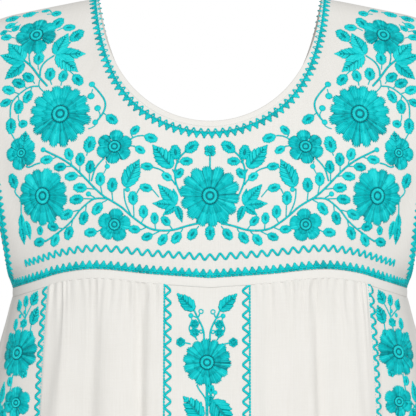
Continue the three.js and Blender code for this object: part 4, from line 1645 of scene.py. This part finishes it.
SIDE_UNIT = PanelUnit(
    blooms=(
        (0.8, 58.2, Flower(24.8, 12, 6.6, threads=7, roundness=0.13, tone=0.46), 0.0),
        (-5, 110, Flower(16.4, 6, 4.8, threads=9, roundness=0.24, tone=0.47), 0.2),
        (-3.7, 28.5, MINI_FLOWER, 0.0), (-11.3, 81.2, MINI_FLOWER, 0.3),
    ),
    fronds=(
        (7.3, 13.2, 13.3, 1.3, SHORT_LEAF), (-3.6, 11.5, -1.2, -0.7, BUD),
        (-12.7, 10.6, -19, -2, SHORT_LEAF), (-15.6, 31.2, -22.5, 15, SLIM_LEAF),
        (10.1, 33.6, 11.2, 21.6, BUD), (19.3, 45, 20.5, 35, SMALL_BUD), (-15.9, 47.6, -15.6, 38, SMALL_BUD),
        (7.2, 92, 7.6, 82, SMALL_BUD),
        (20.9, 107.6, 17.6, 86.6, Leaf(21, 12, 10, 1.1, point=0.85, slant=0.9)),
        (20, 118.5, 22.5, 107.5, BUD), (12, 128, 15, 113, SHORT_LEAF),
    ),
    stems=(
        (((-3, 38), (-5.3, 23.5), (-3.2, 11.5)), 1.7), (((-5.3, 23.5), (-9, 16), (-12.7, 10.6)), 1.5),
        (((-5.3, 23.5), (2, 17), (7.3, 13.2)), 1.5), (((-14.9, 42), (-15.6, 31.2)), 1.5),
        (((4, 38), (8, 36), (10.1, 33.6)), 1.4),
        (((3.5, 80), (4, 88), (5.3, 96.8), (10.3, 106.6), (16.5, 112), (20, 118), (19, 134)), 1.7),
        (((1, 94), (5, 100), (10, 112), (13, 128)), 1.3),
    ),
    knots=((4.3, 19.5, 2.4), (-3, 16.5, 2.2), (-1.5, 97, 2.2)),
    drawn=1.15,
)
UNIT_HEIGHT = 144.0
FIRST_UNIT = 11.0
SIDE_RISE = 6.0
UNIT_COUNT = 4
PANEL_LINE = 42.8
SIDE_LINE = 167.5
SIDE_COLUMN = 200.5
PANEL_DRIFT = -3.0
HEM_CLEARANCE = 26.0


@dataclass(frozen=True)
class EdgeLine:
    """The dashed line down a panel's edge, with a zigzag beside it.

    Attributes:
        width: how far the zigzag reaches.
        pitch: its repeat.
        dash: length, breadth and gap of the line's stitches.
        thread: breadth of the zigzag.
    """

    width: float
    pitch: float
    dash: tuple[float, float, float]
    thread: float


CENTRE_EDGE = EdgeLine(7.8, 12.2, (3.2, 2.1, 0.02), 2.6)
SIDE_EDGE = EdgeLine(8.2, 10.8, (1.2, 0.5, 1.8), 3.0)


class PanelWork:
    """Needlework down the flat panels of the front skirt."""

    def __init__(self, cloth: Cloth) -> None:
        """Starts the work on a skirt."""
        self.cloth = cloth
        self.flowers, self.side_flowers, self.lines = Stitches(cloth), Stitches(cloth), Stitches(cloth)

    def place(self, middle: float, across: float, below: float) -> Array:
        """Cloth coordinates of a place of a panel.

        Args:
            middle: the panel's middle, along the waist seam.
            across: distance from the middle.
            below: distance below the waist seam.

        Returns:
            Cloth coordinates.
        """
        middle += PANEL_DRIFT
        seam = self.cloth.point(np.array([middle, 0.0]))
        v = below / (seam[2] - HEM_HEIGHT)
        stretch = self.cloth.at(np.linalg.norm(self.cloth.du, axis=-1, keepdims=True), np.array([middle, v]))
        smooth = max(1.0, float(stretch[0]))
        return np.array([middle + across / min(smooth, 1.4), v])

    def unit(self, repeat: PanelUnit, bed: Stitches, middle: float, top: float, hands: Sequence[int],
             seed: int) -> None:
        """Makes one repeat.

        Args:
            repeat: the repeat.
            bed: the stitches to add it to.
            middle: the panel's middle along the waist seam.
            top: its top, below the waist seam.
            hands: 1 for the repeat as it is, -1 for its mirror image.
            seed: seed of its small differences.
        """
        for number, (across, below, flower, turn) in enumerate(repeat.blooms):
            pattern = flower.pattern(seed + number)
            pattern[:, 0:4:2] *= repeat.drawn
            for hand in hands if across else hands[:1]:
                bed.motif(self.place(middle, hand * across, top + below), pattern, turn, hand < 0)
        for hand in hands:
            for number, (x0, y0, x1, y1, leaf) in enumerate(repeat.fronds):
                foot, tip = (self.place(middle, hand * x, top + y) for x, y in ((x0, y0), (x1, y1)))
                bed.leaf(foot, tip, leaf.pattern(seed + number), leaf.length, hand < 0)
            for route, breadth in repeat.stems:
                path = smooth_line(np.array([self.place(middle, hand * x, top + y) for x, y in route]), 8)
                bed.run(path, 3.2, breadth * 1.1, 0.95, 0.48)
            for across, below, radius in repeat.knots:
                bed.motif(self.place(middle, hand * across, top + below), knot(radius, KNOT_TONE))
            for across, below, radius in repeat.loops:
                turns = np.linspace(0, 2 * math.pi, 17)
                ring = zip(hand * across + radius * np.cos(turns), top + below + radius * np.sin(turns))
                bed.run(np.array([self.place(middle, x, y) for x, y in ring]), 1.9, 1.35, 0.95, 0.56)

    def edge(self, at: float, inward: float, form: EdgeLine) -> None:
        """A line down a panel's edge.

        Args:
            at: its distance from the centre, along the waist seam.
            inward: the sign of the direction into the panel.
            form: the form of its line and zigzag.
        """
        length = float(self.cloth.point(np.array([at, 0.0]))[2]) - HEM_HEIGHT - HEM_CLEARANCE
        count = int(length / (form.pitch / 2))
        belows = 0.5 + np.arange(count + 1) * form.pitch / 2
        line = np.array([self.place(at, 0.0, below) for below in np.linspace(0.5, belows[-1], 60)])
        dash, breadth, gap = form.dash
        self.lines.run(line, dash, breadth, 0.8, 0.52, gap=gap)
        corners = [self.place(at, inward * form.width * (k % 2), below) for k, below in enumerate(belows)]
        for start, end in zip(corners, corners[1:]):
            self.lines.run(np.stack([start, end]), 9.0, form.thread, 1.1, 0.5, overlap=0.1)

    def make(self) -> None:
        """Makes the centre panel and both side panels, each repeat below the last as far as the hem."""
        for number in range(UNIT_COUNT):
            top, seed = FIRST_UNIT + number * UNIT_HEIGHT, SEED + 10 * number
            self.unit(CENTRE_UNIT, self.flowers, 0.0, top, (1, -1), seed)
            self.unit(CENTRE_LEFT_UNIT, self.flowers, 0.0, top, (-1,), seed + 3)
            self.unit(CENTRE_RIGHT_UNIT, self.flowers, 0.0, top, (1,), seed + 5)
            for hand in HANDS:
                column = hand * SIDE_COLUMN
                self.unit(SIDE_UNIT, self.side_flowers, column, top - SIDE_RISE, (hand,), seed + 100)
        for hand in HANDS:
            self.edge(hand * PANEL_LINE, -hand, CENTRE_EDGE)
            self.edge(hand * SIDE_LINE, hand, SIDE_EDGE)


# ---- Cloth pieces


def put_in_scene(name: str, data: bpy.types.ID) -> Object:
    """Makes an object of some data and puts it in the scene."""
    made = bpy.data.objects.new(name, data)
    bpy.context.scene.collection.objects.link(made)
    return made


def quads(number: Array) -> Array:
    """The faces between the numbered points of a grid."""
    corners = [number[:-1, :-1], number[1:, :-1], number[1:, 1:], number[:-1, 1:]]
    return np.stack(corners, axis=-1).reshape(-1, 4)


def sheet_mesh(name: str, outer: Array, inner: Array, outward: bool, closed: bool = False) -> Mesh:
    """A thin closed shell between two grids of points.

    Args:
        name: the mesh's name.
        outer: points of the outer face, by row and column, in millimetres.
        inner: points of the inner face.
        outward: whether rows by columns wind outward as they stand.
        closed: whether the last column meets the first.

    Returns:
        The mesh, with a UV map named cloth that lies in metres on the flat cloth.
    """
    rows, columns = outer.shape[:2]
    count = rows * columns
    number = np.arange(count).reshape(rows, columns)
    borders = [(number[:, 0], -1), (number[:, -1], 1)]
    if closed:
        number = np.concatenate([number, number[:, :1]], axis=1)
        borders = []
    borders = [(number[0, :], 1), (number[-1, :], -1), *borders]
    top = quads(number)
    rims = []
    for line, sign in borders:
        p, q = (line[:-1], line[1:]) if sign > 0 else (line[1:], line[:-1])
        rims.append(np.stack([p, q, q + count, p + count], axis=-1))
    faces = np.concatenate([top, top[:, ::-1] + count, *rims])
    if not outward:
        faces = faces[:, ::-1]
    points = np.concatenate([outer.reshape(-1, 3), inner.reshape(-1, 3)]) * MM
    mesh = bpy.data.meshes.new(name)
    mesh.from_pydata(points.tolist(), [], faces.tolist())
    loops = np.empty(len(mesh.loops), dtype=np.int64)
    mesh.loops.foreach_get("vertex_index", loops)
    flat = np.tile(flat_places(outer).reshape(-1, 2), (2, 1))
    mesh.uv_layers.new(name="cloth").data.foreach_set("uv", flat[loops].ravel())
    mesh.shade_smooth()
    mesh.validate()
    return mesh


def flat_places(outer: Array) -> Array:
    """Where the points of a grid lie on the flat cloth, in metres along its rows and down its columns."""
    across = np.cumsum(np.linalg.norm(np.diff(outer, axis=1, prepend=outer[:, :1]), axis=-1), axis=1)
    across -= across[:, across.shape[1] // 2][:, None]
    down = np.cumsum(np.linalg.norm(np.diff(outer, axis=0, prepend=outer[:1]), axis=-1), axis=0)
    down -= down[-1:]
    return np.stack([across, down], axis=-1) * MM


def add_piece(mesh: Mesh, material: Material) -> Object:
    """Puts a mesh in the scene with its material."""
    mesh.materials.append(material)
    return put_in_scene(mesh.name, mesh)


def skin_of(cloth: Cloth) -> Object:
    """The outer face of a cloth alone, for stitches to lie on. It isn't kept."""
    faces = quads(np.arange(len(cloth.us) * len(cloth.vs)).reshape(len(cloth.vs), len(cloth.us)))
    if cloth.side is Side.BACK:
        faces = faces[:, ::-1]
    mesh = bpy.data.meshes.new("skin")
    mesh.from_pydata((cloth.points.reshape(-1, 3) * MM).tolist(), [], faces.tolist())
    mesh.shade_smooth()
    return put_in_scene("skin", mesh)


@dataclass
class Dress:
    """The whole dress: its cloth, its needlework and its sewing."""

    cloth_thickness: float = 0.8
    band_thickness: float = 0.9
    binding_thickness: float = 1.2
    hem_fold: float = 20.0
    hem_length: float = 616.0
    neck_columns: int = 41
    shoulder_columns: int = 33
    yoke_rows: int = 81
    skirt_rows: int = 88
    materials: dict[str, Material] = field(default_factory=dict)
    pieces: dict[str, Object] = field(default_factory=dict)

    def __post_init__(self) -> None:
        """Makes the finishes and works out the cloth."""
        for finish in (CLOTH_FINISH, TRIM_FINISH, TURQUOISE, SEWING):
            self.materials[finish.name] = finish.build()
        self.yoke = {side: yoke_cloth(side) for side in Side}
        self.skirt = {side: skirt_cloth(side, SEED + side.value) for side in Side}
        for side in Side:
            self.yoke[side].crease(YOKE_CREASES[side])
            self.skirt[side].crease(SKIRT_CREASES[side], SKIRT_HELD)

    def keep(self, piece: Object, slot: str, *nodes: str) -> Object:
        """Makes a piece part of the dress, in place of the nodes that it stands for."""
        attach(piece, "root")
        if nodes:
            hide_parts(*nodes)
        self.pieces[piece.name] = piece
        log.info("%s: %d triangles", piece.name, triangles(piece))
        return piece

    def yokes(self) -> None:
        """Makes the front and back yokes."""
        for side, cloth in self.yoke.items():
            turns = np.linspace(0, 1, self.neck_columns)
            tops = [neck_place(cloth, turn, BINDING_WIDTH - SEAM_LAP) for turn in turns]
            tops += [np.array([u, 0.0]) for u in np.linspace(tops[-1][0], 1, self.shoulder_columns)[1:]]
            feet = np.concatenate([turns / 2, (1 + np.linspace(0, 1, self.shoulder_columns)[1:]) / 2])
            top = np.array(tops)
            top = np.concatenate([top[:0:-1] * (-1, 1), top])
            foot = np.concatenate([-feet[:0:-1], feet])
            down = (1 - (1 - np.linspace(0, 1, self.yoke_rows)) ** 1.35)[:, None]
            grid = np.stack([top[:, 0] * (1 - down) + foot * down, top[:, 1] * (1 - down) + down], axis=-1)
            self.shell(cloth, grid, f"yoke_{side.word}")

    def shell(self, cloth: Cloth, grid: Array, node: str) -> None:
        """Makes a thin shell of cloth over a grid of cloth coordinates, in place of a node."""
        outer = cloth.point(grid)
        outer[..., 1] += cloth.side.value * SEAM_GAP / 2
        inner = outer - unit(cloth.at(cloth.normals, grid)) * self.cloth_thickness
        self.sheet(outer, inner, "cotton_cloth", node, cloth.side is Side.FRONT)

    def sheet(self, outer: Array, inner: Array, slot: str, node: str, outward: bool,
              closed: bool = False) -> None:
        """Makes the sheet of cloth between two grids of points, in place of a node."""
        mesh = sheet_mesh(f"cloth_{node}", outer, inner, outward, closed)
        self.keep(add_piece(mesh, self.materials[slot]), slot, node)

    def skirts(self) -> None:
        """Makes the front and back skirts."""
        for side, cloth in self.skirt.items():
            rows = np.linspace(0, 1, self.skirt_rows) ** ROW_CROWDING
            self.shell(cloth, np.stack(np.meshgrid(cloth.us, rows), axis=-1), f"skirt_{side.word}")

    def bands(self) -> None:
        """Makes the waist bands, slightly rounded over their seams."""
        for side in self.skirt:
            _, depth, squareness = SKIRT_ROWS[side](0.0)
            section = Section(side, WAIST_HALF_WIDTH, depth, squareness, WAIST_HALF_WIDTH,
                              lambda x: seam_height(side, x))
            along = np.linspace(-section.length, section.length, 241)
            normal = section.outward(along, step=1.0)
            share = np.linspace(0, 1, 9)[:, None, None]
            height = (BAND_HEIGHT + SEAM_LAP / 3) * (1 - share) - SEAM_LAP * share
            proud = 0.3 + BINDING_PROUD * np.sin(np.pi * (0.08 + 0.84 * share)) ** 0.5
            base = section.along(along) + np.array([0.0, 0.0, 1.0]) * height
            base[..., 1] += side.value * SEAM_GAP / 2
            outer, inner = base + normal * proud, base - normal * self.band_thickness
            self.sheet(outer, inner, "cotton_trim", f"waist_band_{side.word}", side is Side.FRONT)

    def binding(self) -> None:
        """Makes the folded binding round the neck."""
        turns = np.linspace(-1, 1, 97)[:-1]
        ring = [(Side.FRONT, turn) for turn in turns] + [(Side.BACK, -turn) for turn in turns]
        outs = np.linspace(0, 1, 7)
        outer, inner = np.empty((2, len(outs), len(ring), 3))
        for i, out in enumerate(outs):
            rolled = BINDING_PROUD * math.sin(math.pi * (0.12 + 0.8 * out)) ** 0.6 + 0.1
            for j, (side, turn) in enumerate(ring):
                cloth = self.yoke[side]
                uv = neck_place(cloth, turn, out * BINDING_WIDTH)
                point, normal = cloth.point(uv), unit(cloth.at(cloth.normals, uv))
                if abs(turn) == 1:
                    normal = unit(normal * (1, 0, 1))
                outer[i, j] = point + normal * rolled
                inner[i, j] = point - normal * (self.binding_thickness + 0.3 * rolled)
        self.sheet(outer, inner, "cotton_trim", "neck_binding", True, closed=True)

    def stitch(self, cloth: Cloth, beds: dict[str, Stitches], finish: str, slot: str,
               shape: StitchShape = StitchShape()) -> None:
        """Lays beds of stitches on a cloth and keeps each as a piece.

        Args:
            cloth: the cloth.
            beds: the stitches, by the piece's name.
            finish: the name of the thread's finish.
            slot: the material slot; it is not used.
            shape: the form of one stitch.
        """
        skin = skin_of(cloth)
        for name, bed in beds.items():
            self.keep(bed.build(name, self.materials[finish], skin, shape), slot)
        bpy.data.objects.remove(skin)

    def needlework(self) -> None:
        """Makes the embroidery of the yokes and the skirt."""
        for side, cloth in self.yoke.items():
            borders = Borders(cloth)
            borders.make()
            beds = {"borders": borders.stitches}
            if side is Side.FRONT:
                florals = FloralWork(cloth)
                florals.make()
                beds |= {"flowers": florals.flowers, "leaves": florals.leaves, "stems": florals.stems}
            beds = {f"embroidery_{name}_{side.word}": bed for name, bed in beds.items()}
            self.stitch(cloth, beds, "turquoise_thread", "turquoise_thread")
        panels = PanelWork(self.skirt[Side.FRONT])
        panels.make()
        beds = {"embroidery_panel_flowers": panels.flowers, "embroidery_side_flowers": panels.side_flowers,
                "embroidery_panel_lines": panels.lines}
        self.stitch(panels.cloth, beds, "turquoise_thread", "turquoise_thread")

    def sewing(self) -> None:
        """Makes the running stitches of the hems in cotton thread."""
        for side, cloth in self.skirt.items():
            bed = Stitches(cloth)
            bed.run(uv_pairs(cloth.us, 1 - self.hem_fold / self.hem_length), 2.8, 0.55, 0.45, 0.5, gap=0.7)
            self.stitch(cloth, {f"sewing_hem_{side.word}": bed}, "cotton_sewing_thread", "cotton_trim",
                        StitchShape(3, 2))


YOKE_CREASES = {
    Side.FRONT: (
        Crease((206, 200), (176, 272), 13, 2.6), Crease((214, 150), (204, 215), 9, 1.6),
        Crease((120, 14), (117, 60), 6, 1.1), Crease((60, 150), (48, 262), 10, 0.7),
        Crease((128, 150), (118, 262), 12, 0.8), Crease((160, 250), (156, 276), 5, 0.7),
        Crease((172, 246), (170, 274), 4, 0.6), Crease((18, 150), (12, 205), 9, 0.5),
    ),
    Side.BACK: (
        Crease((202, 196), (170, 272), 13, 2.4), Crease((212, 150), (200, 212), 9, 1.5),
        Crease((70, 175), (62, 280), 12, 1.0), Crease((120, 90), (126, 240), 14, 1.2),
        Crease((20, 165), (26, 262), 11, 0.8),
    ),
}
SKIRT_HELD = 0.012
SKIRT_CREASES = {
    Side.FRONT: (
        Crease((148, 292), (165, 430), 6.5, 2.4, -1), Crease((113, 290), (122, 480), 6, 2.0, -1),
        Crease((68, 230), (73, 560), 5.4, 4.8, -1), Crease((97, 284), (101, 324), 2.4, 1.3, -1),
        Crease((85, 284), (81, 326), 2.2, 1.3, -1), Crease((61, 286), (64, 316), 2.2, 1.1, -1),
        Crease((104, 230), (117, 560), 5.4, 4.8, 1), Crease((124, 292), (130, 350), 4.5, 1.3, 1),
        Crease((145, 284), (164, 500), 6.5, 2.2, 1), Crease((99, 284), (103, 312), 2.2, 1.2, 1),
        Crease((133, 286), (139, 334), 2.4, 1.3, 1), Crease((60, 284), (62, 330), 2.6, 1.2, 1),
        Crease((78, 288), (84, 360), 4.5, 1.4, 1), Crease((26, 300), (22, 420), 9, -0.7),
        Crease((4, 296), (6, 330), 5, 0.5),
    ),
    Side.BACK: (
        Crease((30, 290), (36, 560), 6, 2.6), Crease((88, 290), (80, 520), 5.5, 2.6),
        Crease((128, 290), (146, 560), 6, 2.6), Crease((62, 296), (57, 380), 3.5, 1.6),
        Crease((165, 300), (186, 500), 6, 2.0), Crease((8, 296), (4, 400), 4, 1.4),
    ),
}


# ---- Studio


@dataclass(frozen=True)
class Studio:
    """Camera, lights and floor, in metres."""

    sensor_mm: float = 36.0
    floor_drop: float = 0.32
    floor_radius: float = 1.6
    ambient: float = 0.44

    def camera(self) -> None:
        """Sets the camera level, in front of the dress, at the height of its bust."""
        data = bpy.data.cameras.new("camera")
        data.sensor_width = self.sensor_mm
        data.lens = self.sensor_mm * EYE_DISTANCE / VIEW_WIDTH
        data.clip_end = 50
        camera = put_in_scene("camera", data)
        camera.location = (EYE_SIDE * MM, (FRONT_PLANE - EYE_DISTANCE) * MM, EYE_HEIGHT * MM)
        camera.rotation_euler = (math.pi / 2, 0, 0)
        bpy.context.scene.camera = camera

    def area(self, name: str, place: Sequence[float], size: float, power: float) -> None:
        """Adds a soft square light that faces the dress, with its place and size in metres."""
        data = bpy.data.lights.new(name, "AREA")
        data.size, data.energy = size, power
        light = put_in_scene(name, data)
        light.location = place
        aim = np.array([0, 0, -0.35]) - np.array(place)
        tilt = math.atan2(math.hypot(aim[0], aim[1]), -aim[2])
        light.rotation_euler = (tilt, 0, math.atan2(-aim[0], aim[1]))

    def lights(self) -> None:
        """Adds the lights and a white surrounding."""
        self.area("key_light", (0.6, -3.2, 0.9), 1.0, 66)
        self.area("left_fill", (-2.4, -2.2, 0.0), 1.6, 5)
        world = bpy.data.worlds.new("studio")
        world.use_nodes = True
        world.node_tree.nodes.clear()
        graph = Graph(world.node_tree)
        seen = graph.value("ShaderNodeLightPath", output="Is Camera Ray")
        strength = seen * (1.0 - self.ambient) + self.ambient
        glow = graph.node("ShaderNodeBackground", {"Color": (1, 1, 1, 1), "Strength": strength})
        graph.node("ShaderNodeOutputWorld", {"Surface": glow.outputs[0]})
        bpy.context.scene.world = world
        bpy.context.scene.view_settings.view_transform = "Standard"

    def floor(self) -> None:
        """Adds a pale round floor well below the hem."""
        turns = np.linspace(0, 2 * math.pi, 64, endpoint=False)
        height = HEM_HEIGHT * MM - self.floor_drop
        mesh = bpy.data.meshes.new("floor")
        radius = self.floor_radius
        rim = [(radius * math.cos(turn), radius * math.sin(turn), height) for turn in turns]
        mesh.from_pydata(rim, [], [list(range(len(rim)))])
        material, graph = new_finish("floor")
        graph.surface({"Base Color": (0.86, 0.86, 0.86, 1), "Roughness": 0.9})
        add_piece(mesh, material)


def main() -> None:
    """Builds the scene."""
    studio = Studio()
    studio.camera()
    dress = Dress()
    dress.yokes()
    dress.skirts()
    dress.bands()
    dress.binding()
    dress.needlework()
    dress.sewing()
    studio.lights()
    studio.floor()


if __name__ == "__main__":
    main()
